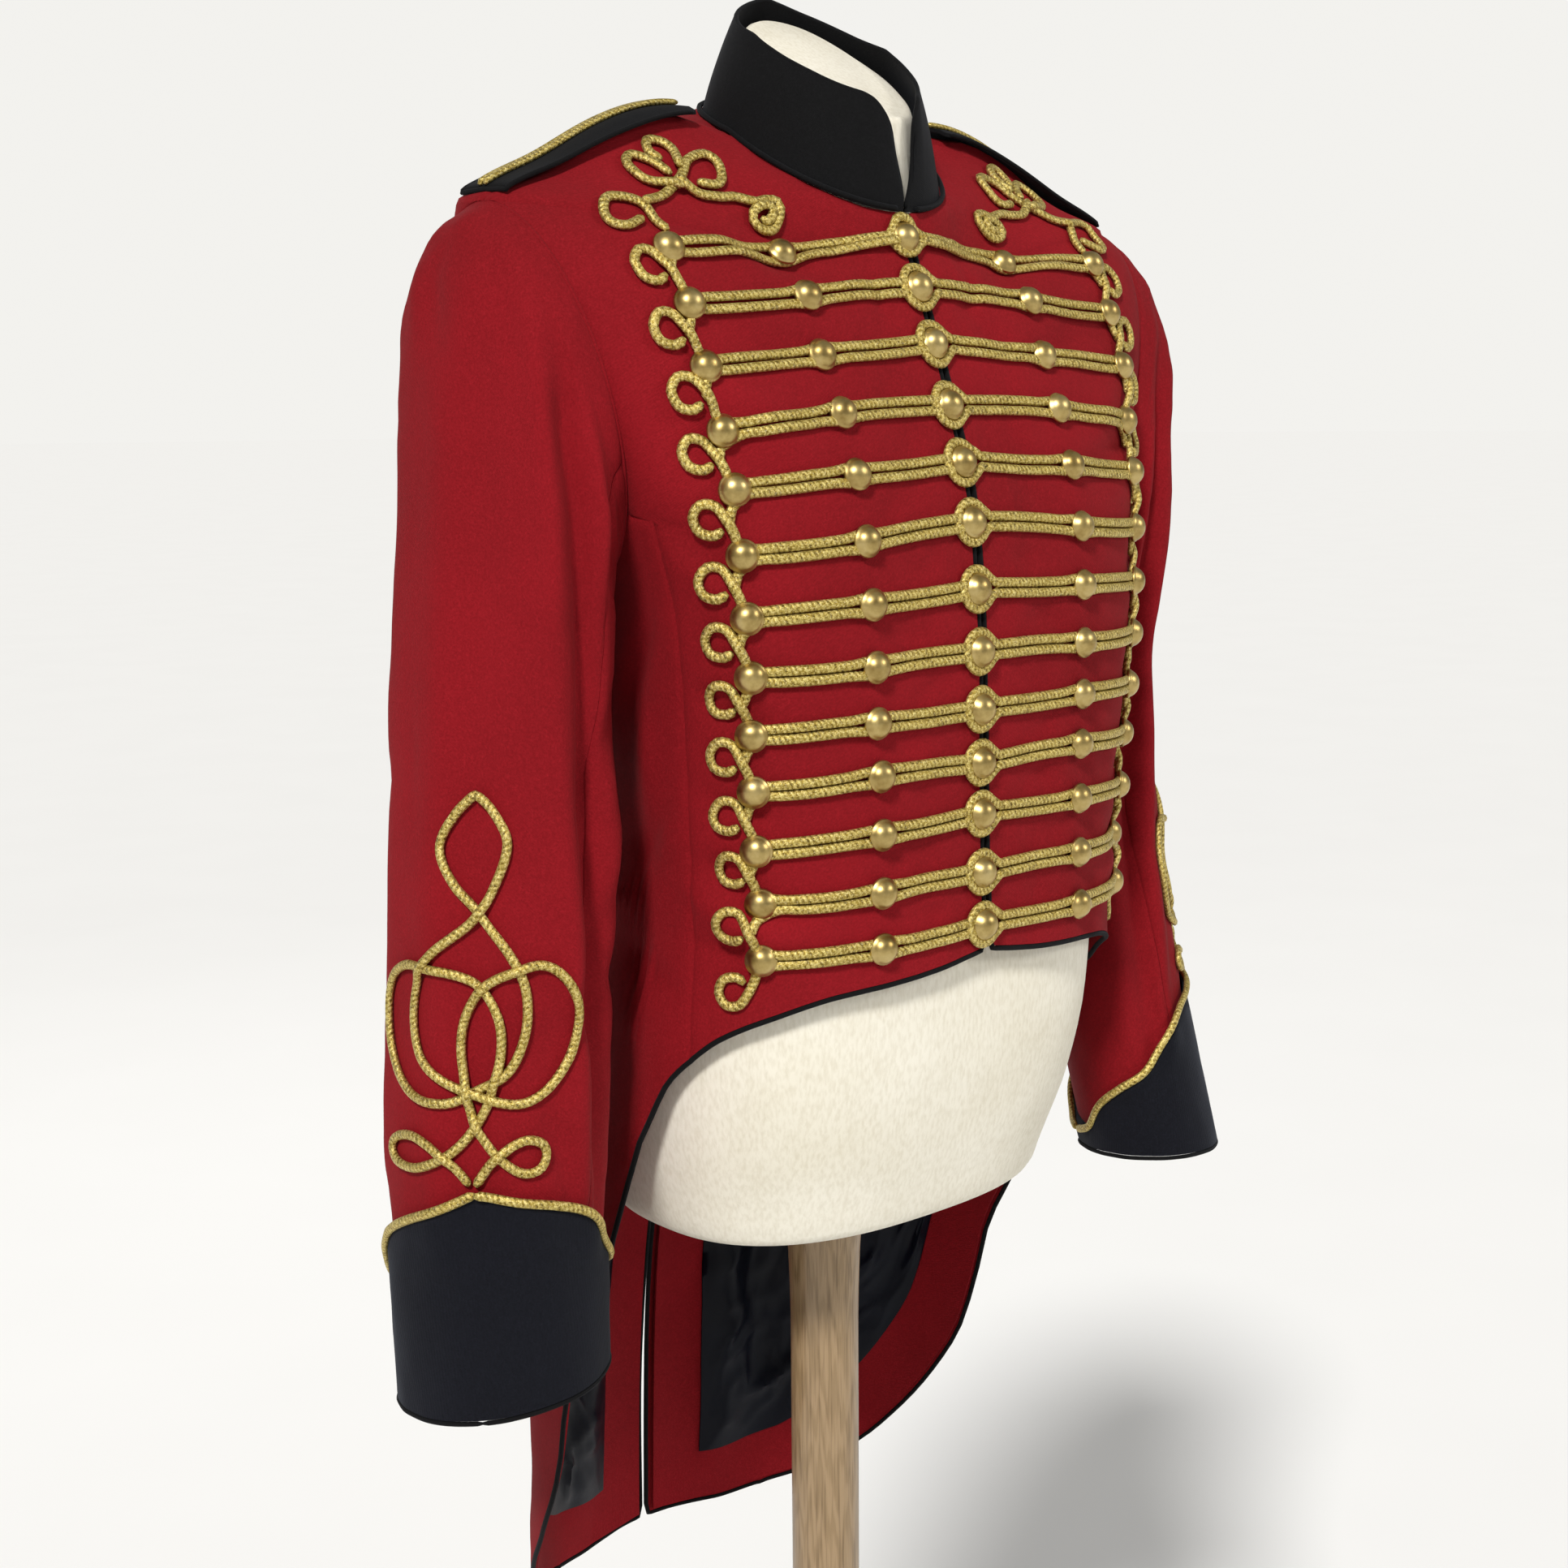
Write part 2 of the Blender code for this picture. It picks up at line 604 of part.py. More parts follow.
def draw_to(grid, i, j, target, axis):
    """Move one border vertex to its target and let the rest of its row or column follow."""
    pull = target - grid[i][j]
    if axis == "row":
        count = len(grid[0]) - 1
        for k in range(count + 1):
            share = (k / count if j else 1 - k / count) ** 3
            grid[i][k] = grid[i][k] + pull * share
    else:
        count = len(grid) - 1
        for k in range(count + 1):
            share = max(0.0, 1 - 2.2 * k / count) ** 2
            grid[k][j] = grid[k][j] + pull * share


def spread(start, end, count):
    return [start + (end - start) * k / count for k in range(count + 1)]


def front_places():
    """Grid of the front: rows from the neckline to the hem, columns from the centre to the side."""
    neck_level = RINGS[0][0]
    shoulder_level = SHOULDER_LEVEL
    ends = [(90.0, level) for level in spread(neck_level, shoulder_level, SHOULDER_ROWS)]
    ends[-1] = armhole_place(0)
    ends += [armhole_place(step) for step in range(1, SIDE_FRONT_STEP + 1)]
    rows = []
    for angle, level in ends:
        rows.append([(front_angle(angle, share, level), level) for share in FRONT_SHARES])
    top = ends[-1][1]
    for k in range(1, SIDE_ROWS + 1):
        s = k / SIDE_ROWS
        row = []
        for share in FRONT_SHARES:
            low_angle = side_front_at(hem_height(73.0))[1]
            hem = hem_height(share * low_angle)
            level = top + (hem - top) * s
            edge = side_front_angle(level)
            row.append((front_angle(edge, share, level), level))
        rows.append(row)
    return rows, ends


def front_angle(edge, share, level):
    """Angle of a column between the front edge, EDGE_GAP from the centre, and the row's end."""
    p = coat_point(0.0, level)
    start = math.degrees(math.atan2(EDGE_GAP, ring_at(level)[3] - p.y))
    return start + (edge - start) * share


def side_front_angle(level):
    return side_front_at(level)[1]


def side_places():
    """Grid of the side body and skirt: columns from the front seam to the back seam."""
    steps = list(range(SIDE_FRONT_STEP, SIDE_BACK_STEP + 1))
    half_steps = [SIDE_FRONT_STEP + k / 2 for k in range(2 * (len(steps) - 1) + 1)]
    tops = [armhole_place(step) for step in half_steps]
    count = len(tops) - 1
    low_front = side_front_at(hem_height(73.0))[1]
    low_back = side_back_at(600.0)[1]
    rows = [tops]
    for k in range(1, SIDE_ROWS + 1):
        s = k / SIDE_ROWS
        row = []
        for j, (_, top_level) in enumerate(tops):
            u = j / count
            hem = hem_height(low_front + (low_back - low_front) * skirt_share(u))
            level = top_level + (hem - top_level) * s
            left = side_front_angle(level)
            right = side_back_at(level)[1]
            share = u + (skirt_share(u) - u) * s
            row.append((left + (right - left) * share, level))
        rows.append(row)
    return rows, half_steps


def skirt_share(u):
    """Columns crowd towards the steep front edge of the tail."""
    return u ** 1.25


def back_places():
    """Grid of the back: columns from the side to the centre back, rows from neck to tail hem."""
    columns = 5
    neck_level = RINGS[0][0]
    shoulder_level = SHOULDER_LEVEL
    starts = [(90.0, level) for level in spread(neck_level, shoulder_level, SHOULDER_ROWS)]
    starts[-1] = armhole_place(0)
    back_steps = list(range(ARM_STEPS - 1, SIDE_BACK_STEP - 1, -1))
    starts += [armhole_place(step) for step in back_steps]
    rows = []
    for angle, level in starts:
        rows.append([(back_angle(angle, u / columns, level), level) for u in range(columns + 1)])
    top = starts[-1][1]
    low_back = side_back_at(600.0)[1]
    for k in range(1, SIDE_ROWS + 1):
        s = k / SIDE_ROWS
        row = []
        for u in range(columns + 1):
            share = u / columns
            hem = hem_height(low_back + (FULL - low_back) * share)
            level = top + (hem - top) * s
            edge = side_back_at(level)[1]
            row.append((back_angle(edge, share, level), level))
        rows.append(row)
    return rows, starts


def back_angle(edge, share, level):
    """Angle of a column between the row's start and the centre back or the vent's edge."""
    gap = EDGE_GAP if level < VENT_TOP else SEAM / 2
    depth = coat_point(FULL, level).y - ring_at(level)[3]
    end = FULL - math.degrees(math.atan2(gap, depth))
    return edge + (end - edge) * share


def build_panels():
    """Every coat panel, both sides; returns their grids."""
    grids = {}
    front, front_ends = front_places()
    side, side_steps = side_places()
    back, back_starts = back_places()
    front_targets = []
    for k in range(SIDE_FRONT_STEP + 1):
        front_targets.append((SHOULDER_ROWS + k, len(front[0]) - 1, armhole_point(k), "row"))
    side_targets = [(0, j, armhole_point(step), "column") for j, step in enumerate(side_steps)]
    back_targets = [(SHOULDER_ROWS, 0, armhole_point(0), "row")]
    for k, step in enumerate(range(ARM_STEPS - 1, SIDE_BACK_STEP - 1, -1)):
        back_targets.append((SHOULDER_ROWS + 1 + k, 0, armhole_point(step), "row"))
    for label, sign in SIDES:
        grids["front", label] = panel("front_" + label, front, sign, "red", front_targets, ["last"])
        grids["side", label] = panel("side_" + label, side, sign, "red", side_targets,
                                     ["first", "last"])
        grids["back", label] = panel("back_" + label, back, sign, "red", back_targets, ["first"])
    return grids


# ---------------------------------------------------------------- sleeves and cuffs
sleeve_columns = {label: list(zip(*rows)) for label, rows in SLEEVES.items()}
sleeve_keys = list(range(SECTIONS))


def sleeve_values(label, k):
    """One sleeve section, read smoothly between the sections of the table."""
    return [curve_value(sleeve_keys, column, k) for column in sleeve_columns[label]]


def fold_depth(angle, s):
    """Radial depth of the sleeve's long folds at an angle (degrees) and a share of the length."""
    total = 0.0
    for top, low, depth, width in FOLDS:
        middle = top + (low - top) * s
        off = (angle - middle + FULL) % 360.0 - FULL
        total += depth * math.exp(-(off / width) ** 2)
    return total * math.sin(math.pi * min(max(s, 0.0), 1.0)) ** 0.6


def sleeve_point(label, angle, k, proud=0.0):
    """Outer face of a sleeve as if at +X; angle 0 is outward, 90 the front; k counts sections."""
    z_out, x_out, z_in, x_in, y_mid, depth, skew = sleeve_values(label, k)
    a = math.radians(angle)
    c, s = math.cos(a), math.sin(a)
    half = (x_out - x_in) / 2
    extra = proud + fold_depth(angle, (k - 1) / (SECTIONS - 3))
    x = (x_out + x_in) / 2 + (half + extra) * c
    z = (z_out + z_in) / 2 + (z_out - z_in) / 2 * c
    return Vector((x, y_mid - (depth + extra) * s + skew * c, z))


def sleeve_cuts():
    """Section numbers of the sleeve's rows."""
    return list(range(SECTIONS - 1)) + [SLEEVE_END]


def sleeve_grid(label, first, last, proud):
    """Grid of a sleeve piece between two armhole steps."""
    count = last - first
    seam_angle = math.degrees(SEAM / 2 / 56.0)
    grid = []
    for k in sleeve_cuts():
        row = []
        for j in range(count + 1):
            angle = 360.0 * (first + j) / ARM_STEPS
            if j == 0:
                angle += seam_angle
            elif j == count:
                angle -= seam_angle
            p = sleeve_point(label, angle, k, proud)
            if k == 0:
                p = p + armhole_axis() * (SEAM + 0.2)
            row.append(p)
        grid.append(row)
    return grid


def armhole_axis():
    """Unit vector out of the +X armhole's plane."""
    dx = ARMHOLE_LOW[0] - ARMHOLE_TOP[0]
    dz = ARMHOLE_LOW[1] - ARMHOLE_TOP[1]
    return Vector((-dz, 0.0, dx)).normalized()


def build_sleeves():
    """Top and under sleeves; returns the grid of each whole sleeve's outer face."""
    wholes = {}
    front_seam, back_seam = SLEEVE_SEAMS
    for label, sign in SIDES:
        for name, first, last in (("top_sleeve_", back_seam - ARM_STEPS, front_seam),
                                  ("under_sleeve_", front_seam, back_seam)):
            outer = mirrored(sleeve_grid(label, first, last, 0.0), sign)
            inner = mirrored(sleeve_grid(label, first, last, -CLOTH), sign)
            shell(name + label, outer, inner, "red")
        whole = [[sleeve_point(label, 360.0 * j / ARM_STEPS, k) for j in range(ARM_STEPS)]
                 for k in sleeve_cuts()]
        wholes[label] = mirrored(whole, sign)
    return wholes


def section_of(label, angle, height):
    """Section number of the sleeve at which a given angle reaches a height."""
    low, high = 0.0, float(SECTIONS - 1)
    for _ in range(30):
        middle = (low + high) / 2
        if sleeve_point(label, angle, middle).z > height:
            low = middle
        else:
            high = middle
    return (low + high) / 2


def cuff_low(label, angle):
    return CUFF_LOW[label] + CUFF_TILT * math.sin(math.radians(angle - KNOT_ANGLE))


def cuff_top(label, angle):
    """Height of the cuff's pointed upper edge."""
    off = abs((angle - KNOT_ANGLE + FULL) % 360.0 - FULL)
    height = linear([row[0] for row in CUFF_EDGE], [row[1] for row in CUFF_EDGE], off)
    return cuff_low(label, angle) + CUFF_SCALE[label] * height


def cuff_place(label, angle, height, proud):
    p = sleeve_point(label, angle, section_of(label, angle, height), proud)
    return Vector((p.x, p.y, height))


def build_cuffs():
    """Cuffs over the sleeve ends."""
    outer_proud = CUFF_PROUD + CLOTH
    for label, sign in SIDES:
        grids = []
        for proud in (outer_proud, CUFF_PROUD):
            grid = []
            for share in (0.0, 0.5, 1.0):
                row = []
                for j in range(CUFF_STEPS):
                    angle = KNOT_ANGLE + 360.0 * j / CUFF_STEPS
                    top, low = cuff_top(label, angle), cuff_low(label, angle)
                    row.append(cuff_place(label, angle, top + (low - top) * share, proud))
                grid.append(row)
            grids.append(mirrored(grid, sign))
        shell("cuff_" + label, grids[0], grids[1], "navy", wrap=True)


# ---------------------------------------------------------------- collar, straps, piping
def collar_places():
    """Signed angles round the neck, close together at the rounded fronts."""
    half = [0.9, 3, 8.5, 26, 48, 70, 90, 115, 148]
    return [-a for a in half] + [FULL] + half[::-1]


def neck_point(angle):
    p = coat_point(abs(angle), RINGS[0][0])
    return Vector((math.copysign(p.x, angle) if abs(angle) < FULL else 0.0, p.y, p.z))


def neck_out(angle):
    p = neck_point(angle)
    return Vector((p.x, p.y - RINGS[0][3], 0.0)).normalized()


def collar_point(angle, share):
    """Outer face of the collar, leaning in; the fronts open in a V, wider on the wearer's left."""
    size = abs(angle)
    _, height, lean = collar_at(size)
    swing = COLLAR_OPEN["left" if angle > 0 else "right"] * share * max(0.0, 1.0 - size / 30.0)
    turned = math.copysign(min(size + swing, FULL), angle)
    rise = Vector((0.0, 0.0, LIFT + 0.4 + height * share))
    return neck_point(turned) + rise - neck_out(turned) * (lean * share)


def build_collar():
    outer, inner = [], []
    for share in (0.0, 0.6, 1.0):
        outer.append([collar_point(angle, share) for angle in collar_places()])
        inner.append([p - neck_out(angle) * COLLAR_CLOTH
                      for p, angle in zip(outer[-1], collar_places())])
    shell("collar", outer, inner, "black")
    path, ups = [], []
    for angle in [math.copysign(max(abs(a), 6.5), a) for a in collar_places() if abs(a) != 3]:
        out = neck_out(angle)
        path.append(neck_point(angle) + out * 1.7 + Vector((0.0, 0.0, 2.35)))
        ups.append(out)
    rings = sweep_rings(path, ups, round_section(4, 1.2))
    swept("collar_piping", rings, "black")


def drop_down(trees, x, y):
    """Highest facet point under (x, y)."""
    hits = [tree.ray_cast(Vector((x, y, 1700.0)), Vector((0.0, 0.0, -1.0)))[0] for tree in trees]
    hits = [h for h in hits if h is not None]
    if hits:
        return max(hits, key=lambda h: h.z)
    place = Vector((x, y, ARMHOLE_TOP[1]))
    near = [tree.find_nearest(place)[0] for tree in trees]
    return min(near, key=lambda h: (h - place).length)


def surface_up(trees, x, y):
    """Normal of the shoulder at (x, y) from three drops."""
    step = 4.0
    x = math.copysign(min(abs(x), 208.0), x)
    dx = drop_down(trees, x + step, y) - drop_down(trees, x - step, y)
    dy = drop_down(trees, x, y + step) - drop_down(trees, x, y - step)
    return dx.cross(dy).normalized()


def build_straps(trees):
    """Straps just behind the shoulder seam, with a double cord along the middle."""
    inner_x, outer_x, half_width = 92.0, 213.0, 19.0
    middle_inner, middle_outer = 10.0, 5.0
    rows = 8
    for label, sign in SIDES:
        foot, normals = [], []
        for k in range(rows):
            x = sign * (inner_x + (outer_x - inner_x) * k / (rows - 1))
            middle = middle_inner + (middle_outer - middle_inner) * k / (rows - 1)
            ys = [middle + share * half_width for share in (-1.0, -0.65, -0.2, 0.4, 1.0)]
            foot.append([drop_down(trees[label], x, y) for y in ys])
            normals.append(surface_up(trees[label], x, middle))
        lifts = clear_lifts(trees[label], foot, normals, LIFT + 0.9)
        inner = [[p + n * lift for p in row] for row, n, lift in zip(foot, normals, lifts)]
        outer = [[p + n * STRAP_CLOTH for p in row] for row, n in zip(inner, normals)]
        shell("strap_" + label, outer, inner, "black")
        ridge = [(row[2] * 0.67 + row[3] * 0.33) for row in outer]
        low = LIFT + 0.2
        band = [(-CORD_W, low), (-CORD_W * 0.6, CORD_H), (CORD_W * 0.6, CORD_H), (CORD_W, low)]
        swept("strap_cord_" + label, sweep_rings(ridge, normals, band), "gold")


def border_path(grids, label):
    """Edge of one side of the coat: front edge, hem, tail, then up the vent."""
    front, side, back = (grids[part, label] for part in ("front", "side", "back"))
    edge = []

    def add(grid_pair, places):
        outer, inner = grid_pair
        for (i, j), (m, n) in places:
            middle = (outer[i][j] + inner[i][j]) / 2
            inward = (outer[m][n] + inner[m][n]) / 2
            edge.append((middle, inward, (outer[i][j] - inner[i][j]).normalized()))

    rows, columns = len(front[0]), len(front[0][0])
    add(front, [((i, 0), (i, 1)) for i in range(rows - 1) if i == 0 or i >= SHOULDER_ROWS])
    add(front, [((rows - 1, j), (rows - 2, j)) for j in range(0, columns - 1)])
    rows, columns = len(side[0]), len(side[0][0])
    add(side, [((rows - 1, j), (rows - 2, j)) for j in range(columns - 1)])
    rows, columns = len(back[0]), len(back[0][0])
    add(back, [((rows - 1, j), (rows - 2, j)) for j in range(columns)])
    vent = [i for i in range(rows - 2, 0, -1) if back[0][i][columns - 1].z < VENT_TOP]
    add(back, [((i, columns - 1), (i, columns - 2)) for i in vent])
    return edge


def build_edge_piping(grids):
    """Piping along every free edge, its centre just off the cut edge."""
    reach = PIPING_R + 0.45
    for label, _ in SIDES:
        edge = border_path(grids, label)
        path, ups = [], []
        for i, (p, inward, up) in enumerate(edge):
            before = edge[max(i - 1, 0)][0]
            after = edge[min(i + 1, len(edge) - 1)][0]
            first = (p - before).normalized() if i else (after - p).normalized()
            second = (after - p).normalized() if i < len(edge) - 1 else first
            along = (first + second).normalized()
            out = up.cross(along)
            if out.dot(p - inward) < 0:
                out.negate()
            bend = max(0.5, math.sqrt(max(0.0, (1 + first.dot(second)) / 2)))
            path.append(p + out.normalized() * (reach / bend))
            ups.append(up)
        swept("edge_piping_" + label, sweep_rings(path, ups, round_section(4, PIPING_R)), "black")


# ---------------------------------------------------------------- tail facing and lining
def hem_track():
    """Hem places with the place FACING_W in from each, on the developed skirt."""
    angles = spread(FACING_START, FULL - 1.3, 18)
    track = []
    for angle in angles:
        da = 0.8
        run = SKIRT_R * math.radians(2 * da)
        rise = hem_height(min(angle + da, FULL)) - hem_height(angle - da)
        if angle + da > FULL:
            run = SKIRT_R * math.radians(da + FULL - angle)
        length = math.hypot(run, rise)
        off_run = -rise / length * FACING_W
        off_rise = run / length * FACING_W
        inner_angle = angle + math.degrees(off_run / SKIRT_R)
        track.append(((angle, hem_height(angle)), (inner_angle, hem_height(angle) + off_rise)))
    return track


def build_tail_insides(grids):
    """Red facing along the tail's edges and black lining inside it."""
    vent_angle = FULL - 1.9
    corner_angle = vent_angle - math.degrees(FACING_W / 178.0)
    track = [(outer, inner) for outer, inner in hem_track() if inner[0] < corner_angle - 2.0]
    corner = ((vent_angle, hem_height(vent_angle) + 2.5),
              (corner_angle, hem_height(corner_angle) + FACING_W))
    heights = spread(corner[1][1], VENT_TOP - 20, VENT_STEPS)[1:]
    vent = [((vent_angle, z), (corner_angle, z)) for z in heights]
    lifted = [((a, z + 2.5), b) for (a, z), b in track]
    path = lifted + [corner] + vent
    facing = [[(a + (c - a) * s, b + (d - b) * s) for s in (0.0, 1.0)] for (a, b), (c, d) in path]
    lining = lining_places(path, corner_angle)
    for label, sign in SIDES:
        trees = [facets(grids[part, label][1]) for part in ("side", "back")]
        inside_piece("tail_facing_" + label, facing, sign, trees, LIFT, CLOTH, "red")
        inside_piece("tail_lining_" + label, lining, sign, trees, LIFT + 0.7, LINING, "satin")


def inside_piece(name, places, sign, trees, gap, thickness, colour):
    """A piece lying inside the skirt, its outer face a small gap in from the skirt's facets."""
    outer, normals = [], []
    for row in places:
        points = [coat_point(*place) - coat_normal(*place) * (CLOTH + gap) for place in row]
        outer.append([Vector((p.x * sign, p.y, p.z)) for p in points])
        inward = [-coat_normal(*place) for place in row]
        normals.append([Vector((n.x * sign, n.y, n.z)) for n in inward])
    middles = [row[len(row) // 2] for row in normals]
    lifts = clear_lifts(trees, outer, middles, gap)
    outer = [[p + n * lift for p, n in zip(row, ns)]
             for row, ns, lift in zip(outer, normals, lifts)]
    inner = [[p + n * thickness for p, n in zip(*pair)] for pair in zip(outer, normals)]
    shell(name, outer, inner, colour)


def lining_places(path, corner_angle):
    """Places of the lining: columns from the facing's front run to its vent run."""
    low = sorted((inner for _, inner in path[:-VENT_STEPS]), key=lambda place: place[0])
    xs = [a for a, _ in low]
    ys = [z for _, z in low]
    gap_angle = math.degrees(SEAM / SKIRT_R)
    columns, count = 6, 7
    top = VENT_TOP - 20
    first = xs[0] + 4.5
    rows = []
    for k in range(count + 1):
        row = []
        for j in range(columns + 1):
            a = first + (corner_angle - gap_angle - first) * j / columns
            floor = linear(xs, ys, a) + 5.0
            row.append((a, top + (floor - top) * k / count))
        rows.append(row)
    return rows


# ---------------------------------------------------------------- gold cord work
def rounded(points, spacing):
    """Smooth path through hand-set points, at an even spacing (2-D)."""
    dense = []
    steps = 12
    for i in range(len(points) - 1):
        p0 = points[max(i - 1, 0)]
        p1 = points[i]
        p2 = points[i + 1]
        p3 = points[min(i + 2, len(points) - 1)]
        for k in range(steps):
            t = k / steps
            dense.append(tuple(catmull(a, b, c, d, t) for a, b, c, d in zip(p0, p1, p2, p3)))
    dense.append(tuple(points[-1]))
    return even(dense, spacing)


def catmull(a, b, c, d, t):
    return 0.5 * (2 * b + (c - a) * t + (2 * a - 5 * b + 4 * c - d) * t ** 2
                  + (3 * b - a - 3 * c + d) * t ** 3)


def even(dense, spacing):
    """Points at an even spacing along a dense path."""
    lengths = [0.0]
    for a, b in zip(dense, dense[1:]):
        lengths.append(lengths[-1] + math.dist(a, b))
    count = max(1, round(lengths[-1] / spacing))
    out = []
    for k in range(count + 1):
        target = lengths[-1] * k / count
        i = min(max(bisect.bisect_right(lengths, target) - 1, 0), len(dense) - 2)
        span = max(lengths[i + 1] - lengths[i], 1e-9)
        t = (target - lengths[i]) / span
        out.append(tuple(a + (b - a) * t for a, b in zip(dense[i], dense[i + 1])))
    return out


class Chest:
    """The fronts, on which things are laid by (mm round the body from the centre front, height)."""

    def __init__(self, grids):
        self.by_side = {sign: facets(grids["front", label][0]) for label, sign in SIDES}
        self.trees = list(self.by_side.values())
        self.arcs = {}

    def arc(self, level):
        """Angles and the lengths round the body to them, at a level rounded to 2 mm."""
        key = 2 * round(level / 2)
        if key not in self.arcs:
            angles = [0.5 * k for k in range(221)]
            points = [coat_point(angle, key) for angle in angles]
            runs = [0.0]
            for p, q in zip(points, points[1:]):
                runs.append(runs[-1] + (q - p).length)
            self.arcs[key] = (angles, runs, [p.x for p in points])
        return self.arcs[key]

    def place(self, s, z):
        """Angle and level of the place."""
        level = z
        angle = 0.0
        for _ in range(6):
            angles, runs, _ = self.arc(level)
            angle = linear(runs, angles, abs(s))
            level += z - coat_point(angle, level).z
        return angle, level

    def run_to(self, x, z):
        """mm round the body at which the surface reaches a half width at a height."""
        level = z
        run = 0.0
        for _ in range(6):
            angles, runs, xs = self.arc(level)
            run = linear(xs[:160], runs[:160], abs(x))
            level += z - coat_point(linear(runs, angles, run), level).z
        return math.copysign(run, x)

    def side(self, s):
        return -1.0 if s < 0 else 1.0

    def normal(self, s, z):
        n = coat_normal(*self.place(s, z))
        return Vector((n.x * self.side(s), n.y, n.z))

    def crossings(self, track):
        """The ends of a track and the places where it passes from one column of facets to the next."""
        dense = even(track, 2.0)
        kept = [dense[0]]
        column = None
        for before, after in zip(dense, dense[1:]):
            here = self.column(*after)
            if column is not None and here != column and math.dist(kept[-1], after) > 4.0:
                kept.append(tuple((a + b) / 2 for a, b in zip(before, after)))
            column = here
        if math.dist(kept[-1], dense[-1]) < 4.0:
            kept.pop()
        return kept + [dense[-1]]

    def column(self, s, z):
        p = coat_point(*self.place(s, z))
        p = Vector((p.x * self.side(s), p.y, p.z))
        n = self.normal(s, z)
        index = self.by_side[self.side(s)].ray_cast(p + n * 40.0, -n)[2]
        return None if index is None else index // 2 % (len(FRONT_SHARES) - 1)

    def at(self, s, z):
        p = coat_point(*self.place(s, z))
        p = Vector((p.x * self.side(s), p.y, p.z))
        n = self.normal(s, z)
        tree = self.by_side[self.side(s)]
        hit = tree.ray_cast(p + n * 40.0, -n)[0]
        return hit if hit is not None else tree.find_nearest(p)[0]


class Shoulder:
    """A front seen from above: things are laid by (x, y)."""

    def __init__(self, trees):
        self.trees = trees

    def at(self, x, y):
        return drop_down(self.trees, x, y)

    def normal(self, x, y):
        return surface_up(self.trees, x, y)


def linear(xs, ys, x):
    i = min(max(bisect.bisect_right(xs, x) - 1, 0), len(xs) - 2)
    span = max(xs[i + 1] - xs[i], 1e-9)
    return ys[i] + (ys[i + 1] - ys[i]) * min(max((x - xs[i]) / span, 0.0), 1.0)


class SleeveFace:
    """A sleeve's facets; places are (mm round the sleeve from the knot's line, height)."""

    def __init__(self, grids, label, sign):
        self.trees = [facets(grid, wrap=True) for grid in grids]
        self.label = label
        self.sign = sign

    def ray(self, w, z):
        """The smooth sleeve's point at a place, and the level direction out of the sleeve there."""
        angle = KNOT_ANGLE + math.degrees(w / SLEEVE_R)
        section = section_of(self.label, angle, z)
        p = sleeve_point(self.label, angle, section)
        _, x_out, _, x_in, y_mid, _, _ = sleeve_values(self.label, section)
        out = Vector((p.x - (x_out + x_in) / 2, p.y - y_mid, 0.0)).normalized()
        return Vector((p.x * self.sign, p.y, z)), Vector((out.x * self.sign, out.y, 0.0))

    def at(self, w, z):
        p, out = self.ray(w, z)
        start = p + out * 40.0
        hits = [tree.ray_cast(start, -out)[0] for tree in self.trees]
        hits = [h for h in hits if h is not None]
        if not hits:
            return p
        return min(hits, key=lambda h: (h - start).length)

    def normal(self, w, z):
        step = 6.0
        dw = self.at(w + step, z) - self.at(w - step, z)
        dz = self.at(w, z + step) - self.at(w, z - step)
        n = dw.cross(dz).normalized()
        return n if n.dot(self.ray(w, z)[1]) > 0 else -n


def laid_cord(face, places, section, lift=LIFT):
    """Cord rings along places on a face, raised wherever the facets between them stand up."""
    path = [face.at(*place) for place in places]
    normals = [face.normal(*place) for place in places]
    frames = []
    for i, p in enumerate(path):
        before, after = path[max(i - 1, 0)], path[min(i + 1, len(path) - 1)]
        along = (after - before).normalized()
        n = (normals[i] - along * normals[i].dot(along)).normalized()
        frames.append((p + n * lift, n, along.cross(n)))
    half = max(s[0] for s in section)
    foot = [[p - across * half, p, p + across * half] for p, _, across in frames]
    lifts = clear_lifts(face.trees, foot, [n for _, n, _ in frames], LIFT + 0.25)
    return [[p + across * s[0] + n * (s[1] + extra) for s in section]
            for (p, n, across), extra in zip(frames, lifts)]


def button(name, face, x, z):
    """A low dome on a short drum, square to the cloth, its foot clear of the cloth."""
    sides = 6
    p = face.at(x, z)
    n = face.normal(x, z)
    side = n.cross(Vector((0.0, 0.0, 1.0))).normalized()
    up = side.cross(n)
    turns = [2 * math.pi * (k + 0.5) / sides for k in range(sides)]
    arms = [side * math.cos(a) + up * math.sin(a) for a in turns]
    reach = BUTTON_R * 0.96
    heights = [height_over(face.trees, p + arm * (reach * share), n)
               for arm in arms for share in (0.5, 1.0)]
    foot = max([BUTTON_FOOT] + [2 * LIFT - h for h in heights if h is not None])
    points = [p + arm * reach + n * foot for arm in arms]
    points += [p + arm * (BUTTON_R * 0.92) + n * BUTTON_DRUM for arm in arms]
    points.append(p + n * BUTTON_H)
    faces = [tuple(range(sides - 1, -1, -1))]
    for k in range(sides):
        m = (k + 1) % sides
        faces.append((k, m, sides + m, sides + k))
        faces.append((sides + k, sides + m, 2 * sides))
    return mesh_object(name, points, faces, "gold")


